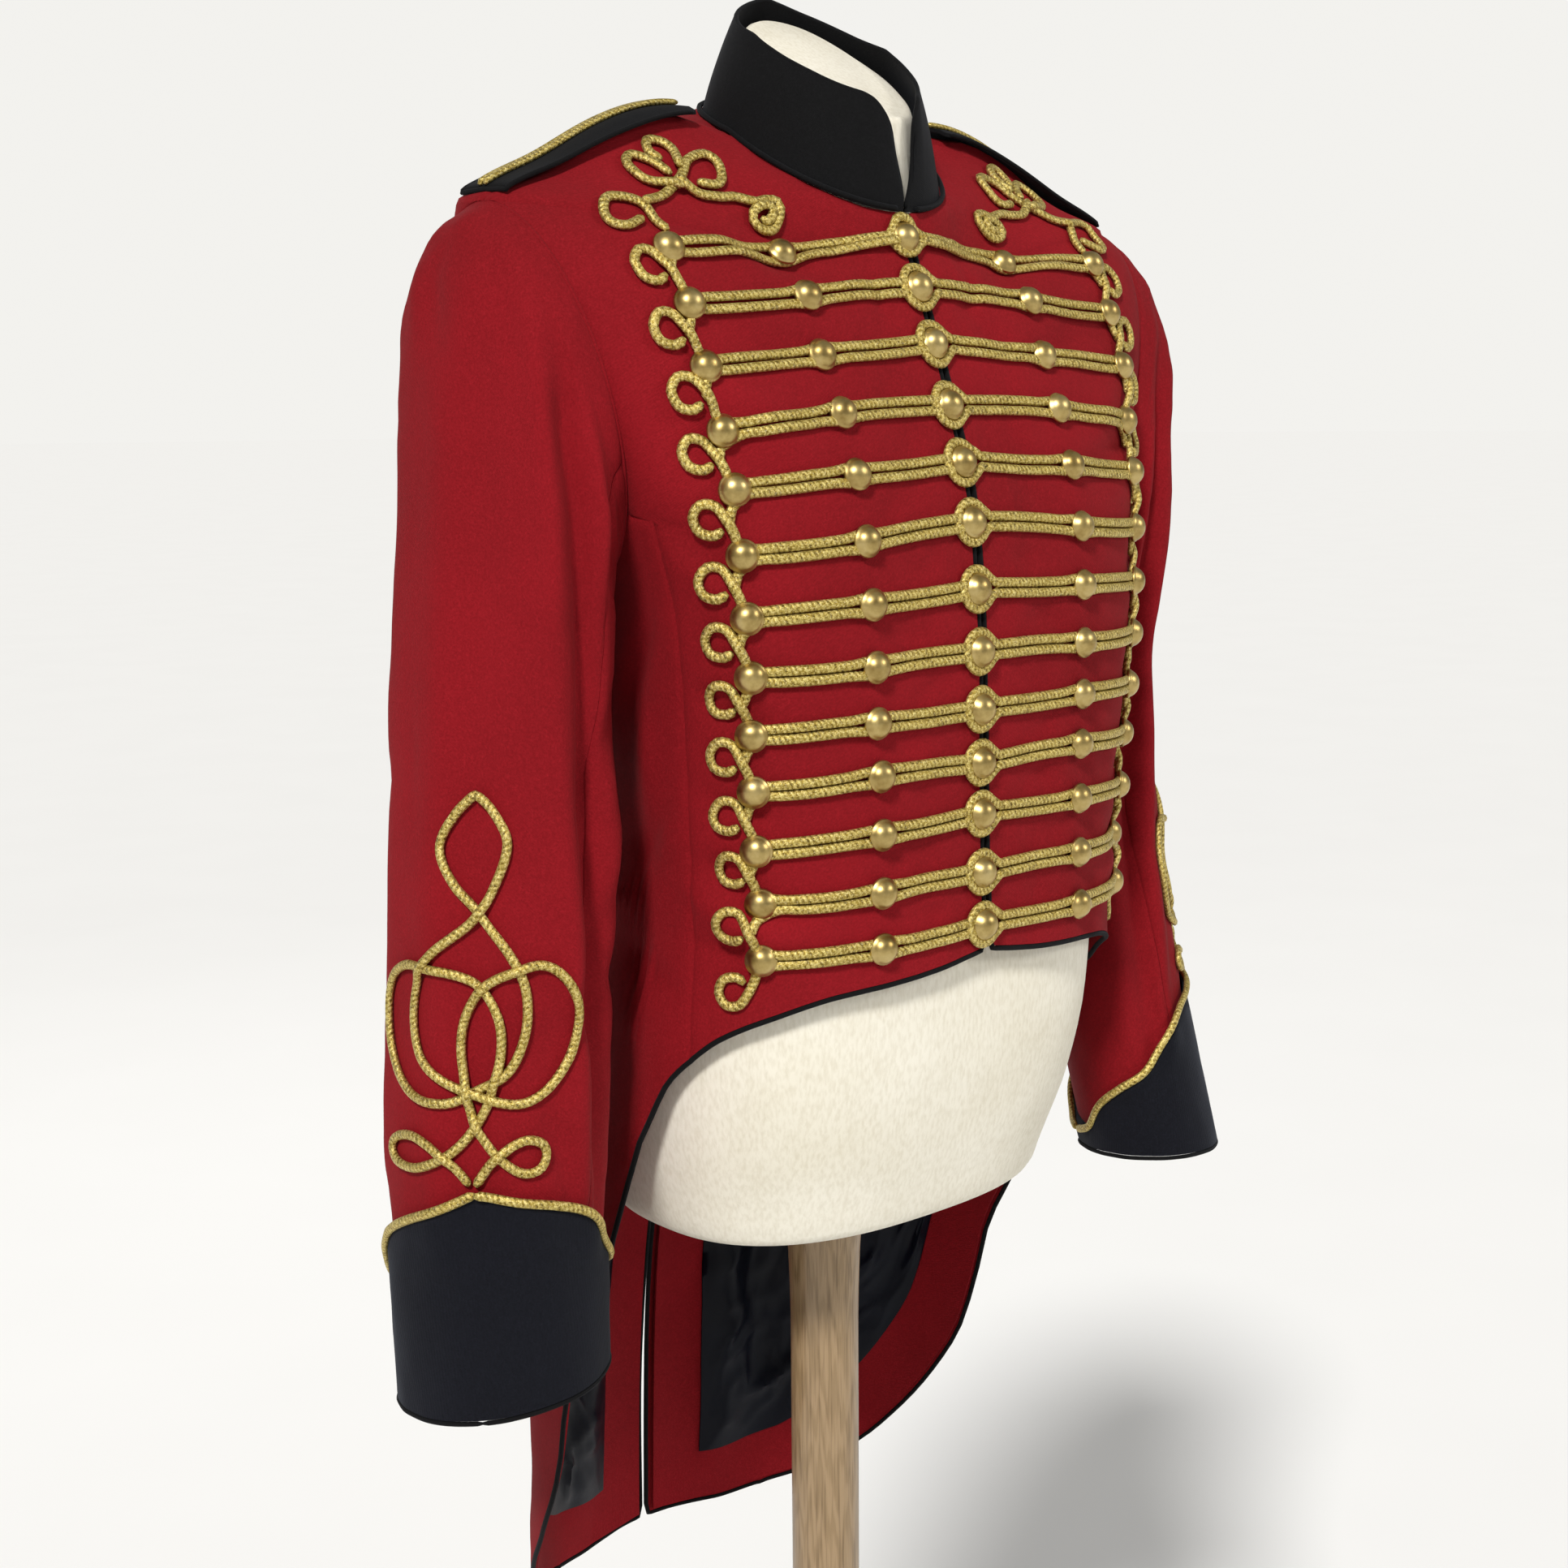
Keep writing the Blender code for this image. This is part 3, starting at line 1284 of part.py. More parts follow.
def frog(face, index, label, sign):
    """One side of one row, fused: cords, eyelet and buttons; the loop, or the middle button."""
    z_centre, z_mid, z_outer, x_mid, x_outer = ROW_TABLE[index]
    name = "frog_%s_%02d" % (label, index + 1)
    s_mid = face.run_to(x_mid, z_mid)
    s_outer = face.run_to(x_outer, z_outer)
    start = abs(CENTRE_X - LOOP_R) + CORD_W / 2 + 0.6 if sign < 0 else EDGE_GAP + 2.0
    track = [(start, z_centre), ((start + s_mid) / 2, (z_centre + z_mid) / 2), (s_mid, z_mid),
             ((s_mid + s_outer) / 2, (z_mid + z_outer) / 2), (s_outer, z_outer)]
    track = face.crossings([(sign * s, z) for s, z in track])
    pieces = [swept(name, laid_cord(face, track, BAND_SECTION, BAND_LIFT), "gold")]
    flips = (1.0, -1.0) if index == ROWS - 1 else (1.0,)
    for k, flip in enumerate(flips):
        reach = FIRST_EYELET_REACH if index == 0 else 1.0
        curl = [(sign * (s_outer + reach * ds), z_outer + flip * dz)
                for ds, dz in rounded(EYELET, EYELET_STEP)]
        lift = BAND_LIFT + 0.3 + 0.15 * k
        pieces.append(swept(name, laid_cord(face, curl, CORD_SECTION, lift), "gold"))
    spots = [(sign * s_mid, z_mid), (sign * s_outer, z_outer)]
    if sign < 0:
        tongue = [(-start - 3.0, z_centre), (CENTRE_X, z_centre)]
        pieces.append(swept(name, laid_cord(face, tongue, TONGUE_SECTION, BAND_LIFT), "gold"))
        pieces.append(button(name, face, CENTRE_X, z_centre))
    else:
        pieces.append(centre_loop(name, face, z_centre))
    for s, z in spots:
        pieces.append(button(name, face, s, z))
    return fuse(name, pieces)


def centre_loop(name, face, z_centre):
    """Ring of cord round a middle button, flat over both front edges."""
    sides = 8
    middle = face.at(CENTRE_X, z_centre)
    n = face.normal(CENTRE_X, z_centre)
    side = n.cross(Vector((0.0, 0.0, 1.0))).normalized()
    up = side.cross(n)
    path = []
    for k in range(sides):
        a = 2 * math.pi * (k + 0.5) / sides
        path.append(middle + (side * math.cos(a) + up * math.sin(a)) * LOOP_R + n * LOOP_LIFT)
    rings = sweep_rings(path, [n] * sides, CORD_SECTION, closed=True)
    return swept(name, rings, "gold", closed=True)


def build_frogs(face):
    for index in range(ROWS):
        for label, sign in SIDES:
            frog(face, index, label, sign)


def knot_lengths():
    """Every length of the sleeve knot; all but the top loop's two come in mirrored pairs."""
    lengths = [KNOT_TOP_BACK, KNOT_TOP_FRONT]
    for shape in (KNOT_PEAR, KNOT_OVALS, KNOT_WAIST, KNOT_EYELET):
        lengths.append(shape)
        lengths.append(tuple((-w, z) for w, z in shape))
    return lengths


def build_ornaments(trees):
    for label, sign in SIDES:
        face = Shoulder(trees[label][:1])
        name = "ornament_" + label
        pieces = []
        for k, shape in enumerate(ORNAMENT):
            places = [(sign * x, y) for x, y in rounded(shape, 9.0)]
            lift = LIFT + 0.3 + 0.2 * k
            pieces.append(swept(name, laid_cord(face, places, CORD_SECTION, lift), "gold"))
        fuse(name, pieces)


def build_knots(sleeves):
    """Sleeve knots, each fused with the cord along its cuff's upper edge."""
    for label, sign in SIDES:
        name = "sleeve_knot_" + label
        face = SleeveFace([sleeves[label]], label, sign)
        point = cuff_top(label, KNOT_ANGLE) + CORD_W / 2
        pieces = []
        for k, shape in enumerate(knot_lengths()):
            places = [knot_place(label, w, point, z) for w, z in rounded(shape, KNOT_STEP)]
            rings = laid_cord(face, places, CORD_SECTION, LIFT + 0.4 + 0.21 * k)
            pieces.append(swept(name, rings, "gold"))
        pieces += cuff_cords(name, label, face)
        fuse(name, pieces)


def knot_place(label, w, point, z):
    """Place on the sleeve of a point of the knot; its front half is narrower."""
    drop = KNOT_DROP[label] * min(1.0, z / 30)
    return (w * KNOT_FRONT if w > 0 else w, point + z - drop)


def cuff_cords(name, label, face):
    """Cord along the cuff's upper edge, from the point down both ways to the inner seam."""
    pieces = []
    step = 360.0 / CUFF_STEPS
    for way in (-1.0, 1.0):
        places = []
        for k in range(9):
            angle = way * step * k
            height = cuff_top(label, KNOT_ANGLE + angle) + CORD_W / 2 + 1.2
            places.append((math.radians(angle) * SLEEVE_R, height))
        rings = laid_cord(face, places, CORD_SECTION, LIFT + 0.3 + 0.1 * way)
        pieces.append(swept(name, rings, "gold"))
    return pieces


# ---------------------------------------------------------------- dress form
def build_form():
    """Torso with a short neck: rings inside the coat, closed flat at the neck and the rim."""
    columns = 16
    top, base = [], []
    rings = [[] for _ in FORM_RINGS]
    for j in range(columns):
        angle = 360.0 * (j + 0.5) / columns
        half = min(angle, 360.0 - angle)
        side = math.copysign(1.0, FULL - angle)
        neck = coat_point(half, RINGS[0][0], NECK_INSET)
        base.append(Vector((neck.x * side, neck.y, neck.z - 5.5)))
        back = (1 - math.cos(math.radians(half))) / 2
        height = NECK_TOP[0] + (NECK_TOP[1] - NECK_TOP[0]) * back
        _, collar_height, lean = collar_at(half)
        share = (height - neck.z) / collar_height
        inset = COLLAR_CLOTH + NECK_TOP_GAP + lean * share
        neck = coat_point(half, RINGS[0][0], inset)
        top.append(Vector((neck.x * side, neck.y, height)))
        for ring, (level, inset) in zip(rings, FORM_RINGS):
            p = coat_point(half, level) - coat_normal(half, level) * inset
            ring.append(Vector((p.x * side, p.y, p.z)))
    rim = [Vector((p.x * 0.95, p.y * 0.95, TORSO_LOW)) for p in rings[-1]]
    swept("form_torso", [top, base] + rings + [rim], "cream")


def lathe(name, profile, sides, colour):
    rings = [[Vector((r * math.cos(2 * math.pi * k / sides), r * math.sin(2 * math.pi * k / sides), z))
              for k in range(sides)] for r, z in profile]
    return swept(name, rings, colour)


def build_stand():
    lathe("form_post", ((POST_R, BASE_H + CLEARANCE), (POST_R, TORSO_LOW - 75),
                        (POST_R + 1.5, TORSO_LOW - 40), (POST_R + 5.5, TORSO_LOW - CLEARANCE)), 14, "ash")
    lathe("form_base", ((BASE_R - 3, 0.0), (BASE_R, 4.0), (BASE_R, BASE_H - 6), (BASE_R - 8, BASE_H)),
          24, "ash")


def main():
    clear_scene()
    build_stand()
    build_form()
    grids = build_panels()
    sleeves = build_sleeves()
    build_cuffs()
    build_collar()
    trees = {label: [facets(grids["front", label][0]), facets(grids["back", label][0])]
             for label, _ in SIDES}
    build_straps(trees)
    build_edge_piping(grids)
    build_tail_insides(grids)
    build_frogs(Chest(grids))
    build_ornaments(trees)
    build_knots(sleeves)


main()
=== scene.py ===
"""Looks of the hussar tailcoat on its dress form.

Lengths are millimetres in this script; meshes are made in metres. The coat is one smooth surface,
`coat_point`, read through a table of level rings, with creases added as relief. What lies on the
cloth is laid on the finished cloth.
"""

import bisect
import math

import bmesh
import bpy
from mathutils import Matrix, Vector, noise
from mathutils.bvhtree import BVHTree


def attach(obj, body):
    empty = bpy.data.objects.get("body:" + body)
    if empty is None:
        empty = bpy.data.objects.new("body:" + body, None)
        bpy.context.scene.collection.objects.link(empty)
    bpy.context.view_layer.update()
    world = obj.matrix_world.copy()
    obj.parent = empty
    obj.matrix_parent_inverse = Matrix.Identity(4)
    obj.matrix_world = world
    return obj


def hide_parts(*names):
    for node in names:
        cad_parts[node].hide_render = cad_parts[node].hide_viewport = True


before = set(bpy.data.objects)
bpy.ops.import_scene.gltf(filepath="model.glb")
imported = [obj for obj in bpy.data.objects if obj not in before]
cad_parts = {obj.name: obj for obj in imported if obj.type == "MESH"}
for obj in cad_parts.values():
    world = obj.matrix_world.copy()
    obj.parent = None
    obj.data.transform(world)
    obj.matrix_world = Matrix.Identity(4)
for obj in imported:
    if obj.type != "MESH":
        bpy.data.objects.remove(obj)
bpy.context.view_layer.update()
FINE = 1.0

# ---------------------------------------------------------------- sizes (mm)
CLOTH = 1.6
LINING = 0.9
COLLAR_CLOTH = 2.6
STRAP_CLOTH = 2.2
SEAM = 0.4
LIFT = 0.4
PIPING_R = 1.5
EDGE_GAP = 3.8
ROWS = 13
CORD_HALF = 2.6                 # half the width of a gold cord
CORD_RISE = 1.9                 # half its height
PAIR_OFFSET = 2.75              # each cord of a pair from the pair's middle
PAIR_START = 9.0                # where a pair begins, from the centre front
PAIR_BULGE = (1.1, 7.0)         # height and reach of the swelling round a mid button
CORD_END = 4.5                  # where the right front's cords begin
ORNAMENT_CORD = (2.7, 2.0)      # half width and half height of the other gold cords
KNOT_CORD = (2.45, 1.9)
STRAP_CORD = (2.3, 1.7)
STRAP_CORD_OFFSET = 2.35
ROLLED_EDGE = 1.35              # radius of the collar's rolled edge
STRAP_X = (90.0, 213.0)         # neck end and shoulder end of a strap
STRAP_SUPPORT = (98.0, 208.0)   # between these the strap takes its height from the coat
STRAP_HALF = 19.0
STRAP_UP = Vector((0.25, 0.0, 1.0))     # a left strap's upward direction, not unit length
# Radius and height over the cloth, from the middle of the back to the top of the dome.
BUTTON_PROFILE = ((0.0, 1.6), (7.9, 1.6), (8.4, 2.3), (8.4, 3.2), (8.0, 3.9), (7.6, 4.2), (7.0, 5.4),
                  (5.9, 6.8), (4.4, 8.0), (2.6, 8.75), (1.2, 9.0), (0.0, 9.05))
BUTTON_SIDES = 28
BUTTON_SCALE = 1.0
FULL = 180.0
SIDES = (("right", -1.0), ("left", 1.0))

# Level rings of the coat: see ring_at. level, half_width, y_front, y_mid, y_back, z_side, z_front,
# z_back, bulge_front, bulge_back, drop
RINGS = (
    (1450, 63, -67, -3, 62, 1443, 1402, 1468, 2.0, 2.0, 1.0),
    (1443, 106, -68, -3, 75, 1450, 1398, 1459, 1.8, 2.0, 0.6),
    (1436, 138, -69, -4, 84, 1442, 1393, 1447, 1.8, 2.0, 0.5),
    (1420, 181, -70, -4, 92, 1421, 1390, 1425, 1.9, 2.2, 0.7),
    (1404, 219, -71, -3, 98, 1404, 1387, 1404, 2.0, 2.4, 1.0),
    (1350, 211, -85, -12, 106, 1350, 1350, 1350, 2.6, 2.5, 1.0),
    (1300, 195, -103, -22, 108, 1300, 1300, 1300, 3.1, 2.6, 1.0),
    (1245, 172, -119, -28, 104, 1245, 1245, 1245, 3.6, 2.6, 1.0),
    (1200, 161, -124, -30, 99, 1200, 1200, 1200, 3.8, 2.5, 1.0),
    (1150, 157, -126, -28, 93, 1150, 1150, 1150, 3.7, 2.4, 1.0),
    (1095, 153, -127, -25, 89, 1095, 1095, 1095, 3.5, 2.3, 1.0),
    (1035, 152, -129, -22, 94, 1035, 1035, 1035, 3.2, 2.2, 1.0),
    (985, 158, -131, -20, 106, 985, 985, 985, 2.8, 2.2, 1.0),
    (930, 162, -131, -15, 124, 930, 930, 930, 2.6, 2.2, 1.0),
    (860, 166, -131, -5, 149, 860, 860, 860, 2.4, 2.2, 1.0),
    (760, 168, -131, 0, 169, 760, 760, 760, 2.3, 2.2, 1.0),
    (660, 168, -131, 0, 177, 660, 660, 660, 2.3, 2.2, 1.0),
    (560, 166, -131, 0, 181, 560, 560, 560, 2.3, 2.2, 1.0),
)
NECK_LEVEL = 1450
SHOULDER_LEVEL = 1404
HOLLOW = (16.0, 50.0, 1412.0, 24.0, 34.0)
# angle, height of the coat's lower edge
HEM = (
    (0, 1021), (18, 1016), (44, 1011), (58, 1001), (67, 990), (73, 977), (77.7, 963), (81, 944),
    (83.5, 926), (85.7, 893), (88, 860), (91, 832), (95, 808), (99, 782), (102.5, 740), (106, 708),
    (112, 676), (121, 640), (131, 610), (146, 585), (164, 576), (180, 578),
)
SIDE_FRONT_SEAM = ((1240, 77), (1130, 75), (985, 73))
SIDE_BACK_SEAM = ((1245, 113), (1180, 132), (1080, 148), (930, 150), (580, 152))
VENT_TOP = 930
ARMHOLE_TOP = (218.0, 1403.0)
ARMHOLE_LOW = (163.0, 1214.0)
ARMHOLE_HALF_DEPTH = 64.0
ARM_STEPS = 20
SIDE_FRONT_STEP = 7
SIDE_BACK_STEP = 12

# z_out, x_out, z_in, x_in, y_mid, half_depth, skew of each sleeve section
SLEEVES = {
    "right": (
        (1403, 218, 1214, 163, 0, 64, 0), (1389, 236, 1207, 166, 0, 66, 0),
        (1360, 247, 1198, 167, 0, 67, 0), (1310, 250, 1184, 168, 0, 67, 0),
        (1240, 256, 1160, 168, 0, 66, 0), (1160, 265, 1118, 169, -2, 64, 0),
        (1075, 272, 1058, 172, -4, 62, 0), (1000, 278, 995, 176, -6, 60, 0),
        (935, 284, 932, 180, -8, 58, 0), (880, 284, 880, 182, -8, 56, 0),
        (800, 282, 800, 182, -8, 55, 0),
    ),
    "left": (
        (1403, 218, 1214, 163, 0, 64, 0), (1389, 236, 1207, 166, 0, 66, 0),
        (1360, 246, 1198, 167, 0, 66, 0), (1312, 248, 1184, 168, 1, 66, 1),
        (1248, 253, 1163, 168, 2, 63, 2), (1182, 246, 1128, 168, 3, 59, 4),
        (1108, 256, 1074, 171, -1, 56, 9), (1036, 268, 1020, 175, -6, 54, 14),
        (966, 277, 954, 180, -17, 52, 18), (906, 282, 898, 184, -31, 50, 20),
        (828, 285, 824, 190, -51, 49, 20),
    ),
}
SECTIONS = 11
SLEEVE_END = 9.6
SLEEVE_SEAMS = (6, 14)
# angle at the top and at the cuff, depth, width of the sleeve's long folds
FOLDS = ((50, 112, 8.0, 10), (69, 131, -9.5, 10), (90, 152, 3.5, 12), (26, 44, -3.0, 12),
         (6, 20, 2.4, 12), (318, 330, 2.4, 14), (284, 300, -2.6, 14))
CUFF_LOW = {"right": 812.0, "left": 840.0}
CUFF_TILT = 9.0
CUFF_SCALE = {"right": 1.0, "left": 0.9}
CUFF_EDGE = ((0, 117), (20, 110), (40, 103), (60, 93), (80, 73), (100, 55), (120, 45), (140, 33),
             (160, 14), (180, 9))
CUFF_PROUD = 1.8
KNOT_ANGLE = 42.0
SLEEVE_R = 54.0
FACING_W = 38.0
FACING_START = 84.0
SKIRT_R = 167.0
# angle round the neck, collar height, inward lean of its top
COLLAR = ((0.9, 30, 3), (3, 42, 3.5), (7, 49, 4), (13, 54.5, 5), (20, 56.5, 7), (45, 56, 11),
          (70, 53, 13), (90, 50, 14), (115, 48, 16), (148, 49, 19), (180, 52.5, 20))
COLLAR_OPEN = {"right": 3.0, "left": 9.5}    # degrees that each front swings open at its top
# heights of the centre, mid and outer buttons of each row, half widths of the mid and outer ones
ROW_TABLE = (
    (1391, 1379, 1377, 81, 152), (1363, 1357, 1351, 81, 151), (1334, 1329, 1322, 81, 150),
    (1303, 1300, 1293, 79, 147), (1274, 1270, 1265, 79, 146), (1244, 1238, 1234, 79, 144),
    (1210, 1207, 1204, 78, 142), (1178, 1176, 1175, 77, 140), (1148, 1148, 1146, 77, 139),
    (1120, 1121, 1118, 75, 137), (1093, 1091, 1088, 74, 135), (1062, 1061, 1060, 74, 133),
    (1034, 1032, 1032, 74, 132),
)
CENTRE_X = -4.5
LOOP_R = 10.2
# Upper cord's eyelet beyond the outer button, and the lower cord's way to the next row's stem.
EYELET = ((1, 5), (3.5, 11), (7, 18), (11.5, 24), (18.3, 24.3), (22, 18), (19.3, 11.3), (12.6, 9.8),
          (8.4, 12.6))
# Shoulder ornament seen from above on the left side.
FIRST_EYELET = ((151, -57), (151.6, -51), (152.6, -46), (156, -41), (163.5, -38), (172, -37),
                (177, -41), (176.6, -48), (169, -51), (158.5, -47))
ORNAMENT = (
    ((155, -43), (148, -40.5), (136, -38), (121, -31), (112, -25), (101, -24), (96, -28), (98, -35),
     (104, -37.5), (114, -35)),
    ((125, -37), (135, -34), (144.5, -30), (146, -20), (140, -15), (132, -21), (127, -30)),
    ((120, -28), (116, -19), (119, -13), (126, -10.5), (129, -16), (126, -22)),
    ((127, -33), (118, -40), (106, -42), (97, -42.5)),
)
# The last cord's spiral: middle x, y, half sizes, size at its end, start and turn in degrees, steps
SPIRAL = (82.5, -48.8, 12.5, 3.5, 0.24, 105.0, 630.0, 18)
# Sleeve knot, each half one cord from the top loop to the cuff's point:
# (mm towards the front, height over the cuff's point)
KNOT_HALVES = (
    ((-5, 194), (-15, 184), (-22, 167), (-15, 149), (-2, 135), (12, 117), (20, 100), (21, 79),
     (14, 59), (-1, 49), (-17, 42), (-39, 44), (-56, 60), (-60, 80), (-55, 97), (-42, 106),
     (-25, 107), (-12, 105), (0, 99), (8, 86), (10, 69), (6, 46), (-2, 30), (-14, 17), (-31, 8),
     (-47, 7), (-53, 12), (-48, 19), (-31, 23), (-15, 16), (-3, 3)),
    ((-5, 194), (4, 184), (10, 170), (5, 150), (-4, 134), (-26, 113), (-35, 89), (-32, 66),
     (-18, 53), (-1, 47), (19, 43), (33, 49), (44, 64), (47, 84), (40, 103), (28, 111), (12, 107),
     (0, 99), (-8, 86), (-10, 69), (-6, 46), (1, 30), (11, 17), (22, 9), (31, 10), (34, 17),
     (31, 23), (22, 25), (10, 17), (0, 3)),
)
KNOT_DROP = {"right": 0.0, "left": 10.0}
# Torso: level and inset from the coat
FORM_RINGS = ((1443, 13.0), (1434, 10.5), (1420, 7.5), (1404, 9.5), (1375, 10.5), (1330, 11.0),
              (1260, 11.0), (1190, 10.0), (1120, 9.0), (1040, 9.5), (970, 12.0), (920, 20.0),
              (876, 33.0))
NECK_TOP = (1452.0, 1510.0)
NECK_TOP_GAP = 4.0
NECK_INSET = 7.5
TORSO_LOW = 862.0
POST_R = 20.0
BASE_R = 175.0
BASE_H = 26.0

# Creases of the cloth, each a soft trough or ridge along a line:
# start angle, start level, end angle, end level, depth, width (mm)
CREASES = (
    (66, 1345, 44, 1322, -1.8, 8), (68, 1318, 52, 1284, 1.6, 8), (72, 1296, 50, 1262, -1.9, 8),
    (76, 1262, 62, 1212, -1.5, 7), (73, 1230, 60, 1190, 1.1, 7), (74, 1168, 58, 1150, -1.3, 6),
    (73, 1120, 56, 1098, -1.1, 6), (74, 1080, 52, 1052, -2.2, 9), (73, 1060, 48, 1036, 1.9, 8),
    (73, 1040, 60, 1022, -1.4, 6), (30, 1372, 18, 1345, -0.9, 7), (62, 1398, 40, 1372, -1.8, 9),
    (78, 1392, 56, 1384, 1.5, 8), (22, 1345, 36, 1337, -0.7, 6), (20, 1318, 34, 1311, -0.7, 5),
    (16, 1290, 30, 1284, -0.8, 5), (22, 1258, 38, 1252, -0.8, 5), (15, 1228, 28, 1222, -0.7, 5),
    (20, 1193, 36, 1188, -0.9, 5), (14, 1163, 27, 1160, -0.7, 5), (20, 1133, 34, 1137, -0.8, 5),
    (17, 1105, 30, 1108, -0.7, 5), (20, 1077, 35, 1079, -0.9, 5), (14, 1047, 30, 1045, -0.7, 5),
    (84, 1205, 90, 1140, -1.8, 8), (98, 1200, 104, 1120, 1.6, 9), (90, 1160, 82, 1090, 1.4, 8),
    (110, 1190, 126, 1110, -1.9, 10), (80, 1100, 92, 1072, -1.5, 8), (92, 1085, 118, 1064, -1.6, 8),
    (84, 1058, 112, 1040, 1.3, 8), (78, 1010, 96, 1024, -1.3, 8), (126, 900, 130, 690, -4.0, 15),
    (112, 880, 118, 730, 3.0, 14), (140, 930, 143, 640, 2.6, 13), (98, 960, 104, 860, -2.0, 12),
    (112, 1330, 140, 1296, -2.0, 11), (106, 1292, 136, 1252, 1.8, 11),
    (118, 1262, 142, 1218, -2.2, 11), (128, 1380, 150, 1352, -1.3, 12),
    (176, 1150, 152, 1132, -1.8, 9), (176, 1118, 150, 1110, 1.5, 9),
    (177, 1088, 154, 1092, -1.6, 9), (172, 1040, 156, 1058, 1.2, 9),
    (164, 900, 161, 610, -4.2, 15), (172, 930, 174, 620, 3.0, 12), (155, 880, 153, 640, 2.8, 12),
    (168, 1240, 150, 1210, -1.0, 12),
)
# Creases of a sleeve in (angle, section): start, end, depth, width (mm)
SLEEVE_CREASES = (
    (80, 1.4, 66, 3.2, -2.0, 7), (96, 1.6, 100, 3.4, 1.8, 7), (112, 2.0, 118, 4.6, -2.0, 8),
    (40, 1.3, 44, 2.6, -1.6, 7), (20, 1.2, 22, 2.4, 1.4, 7), (0, 1.2, 4, 2.8, -1.5, 8),
    (340, 1.2, 342, 2.6, 1.3, 7), (300, 1.5, 298, 3.4, -1.8, 8), (270, 2.2, 268, 4.4, 1.6, 8),
    (130, 4.2, 96, 5.4, -2.2, 8), (140, 5.0, 108, 6.3, 1.9, 8), (126, 6.0, 92, 6.8, -1.6, 7),
    (240, 4.6, 282, 5.6, -1.6, 8), (236, 5.6, 276, 6.4, 1.5, 8), (150, 3.0, 138, 4.4, -1.8, 8),
    (70, 7.3, 108, 8.4, -1.3, 7), (350, 5.2, 12, 7.4, -1.6, 10), (316, 6.2, 322, 8.4, 1.4, 9),
    (58, 3.4, 78, 6.2, 1.8, 8), (74, 3.4, 94, 6.4, -2.2, 8),
)


# ---------------------------------------------------------------- reading the tables
def slope(xs, ys, i):
    """Tangent at knot i: flat at a turn, else the limited mean of the two neighbouring slopes."""
    if i == 0:
        return (ys[1] - ys[0]) / (xs[1] - xs[0])
    if i == len(xs) - 1:
        return (ys[-1] - ys[-2]) / (xs[-1] - xs[-2])
    before = (ys[i] - ys[i - 1]) / (xs[i] - xs[i - 1])
    after = (ys[i + 1] - ys[i]) / (xs[i + 1] - xs[i])
    if before * after <= 0:
        return 0.0
    return 2.0 * before * after / (before + after)


def curve_value(xs, ys, x):
    """Smooth curve through knots with rising xs; it doesn't overshoot."""
    x = min(max(x, xs[0]), xs[-1])
    i = min(max(bisect.bisect_right(xs, x) - 1, 0), len(xs) - 2)
    step = xs[i + 1] - xs[i]
    t = (x - xs[i]) / step
    m0 = slope(xs, ys, i) * step
    m1 = slope(xs, ys, i + 1) * step
    return ((2 * t ** 3 - 3 * t ** 2 + 1) * ys[i] + (t ** 3 - 2 * t ** 2 + t) * m0
            + (3 * t ** 2 - 2 * t ** 3) * ys[i + 1] + (t ** 3 - t ** 2) * m1)


def reader(table, step, low, high):
    """A quick function that reads every column of a table, smooth between rows, at its first."""
    rows = sorted(table)
    xs = [row[0] for row in rows]
    columns = list(zip(*rows))
    count = int((high - low) / step) + 1
    dense = [[curve_value(xs, column, low + k * step) for column in columns] for k in range(count)]

    def read(x):
        place = min(max((x - low) / step, 0.0), count - 1.001)
        i = int(place)
        t = place - i
        return [a + (b - a) * t for a, b in zip(dense[i], dense[i + 1])]
    return read


ring_at = reader(RINGS, 1.0, 560, 1450)
hem_table = reader(HEM, 0.25, 0, 180)
side_front_table = reader(SIDE_FRONT_SEAM, 5, 980, 1240)
side_back_table = reader(SIDE_BACK_SEAM, 5, 580, 1245)
collar_table = reader(COLLAR, 0.5, 0.9, 180)
sleeve_table = {label: reader([(k, *row) for k, row in enumerate(rows)], 0.02, 0, SECTIONS - 1)
                for label, rows in SLEEVES.items()}


def hem_height(angle):
    return hem_table(angle)[1]


def linear(xs, ys, x):
    i = min(max(bisect.bisect_right(xs, x) - 1, 0), len(xs) - 2)
    span = max(xs[i + 1] - xs[i], 1e-9)
    return ys[i] + (ys[i + 1] - ys[i]) * min(max((x - xs[i]) / span, 0.0), 1.0)


def spread(start, end, count):
    return [start + (end - start) * k / count for k in range(count + 1)]


def count_of(number):
    return max(2, round(number * FINE))


# ---------------------------------------------------------------- the coat's surface
def coat_point(angle, level, inset=0.0):
    """Outer surface of the coat on the +X side: angle in degrees from the front, level in mm."""
    (_, width, y_front, y_mid, y_back, z_side, z_front, z_back, bulge_f, bulge_b,
     drop) = ring_at(level)
    a = math.radians(angle)
    c = math.cos(a)
    front = c > 0
    bulge = bulge_f if front else bulge_b
    depth = (y_mid - y_front if front else y_back - y_mid) - inset
    r = ((abs(math.sin(a)) / (width - inset)) ** bulge + (abs(c) / depth) ** bulge) ** (-1.0 / bulge)
    z = z_side + ((z_front if front else z_back) - z_side) * abs(c) ** drop
    depth, middle_angle, middle_level, spread_angle, spread_level = HOLLOW
    taper = min(1.0, max(0.0, (NECK_LEVEL - level) / 10.0))
    off = ((angle - middle_angle) / spread_angle) ** 2 + ((level - middle_level) / spread_level) ** 2
    sink = 0.7 * depth * taper * math.exp(-off)
    return Vector((r * math.sin(a), y_mid - r * c + sink, z - sink))


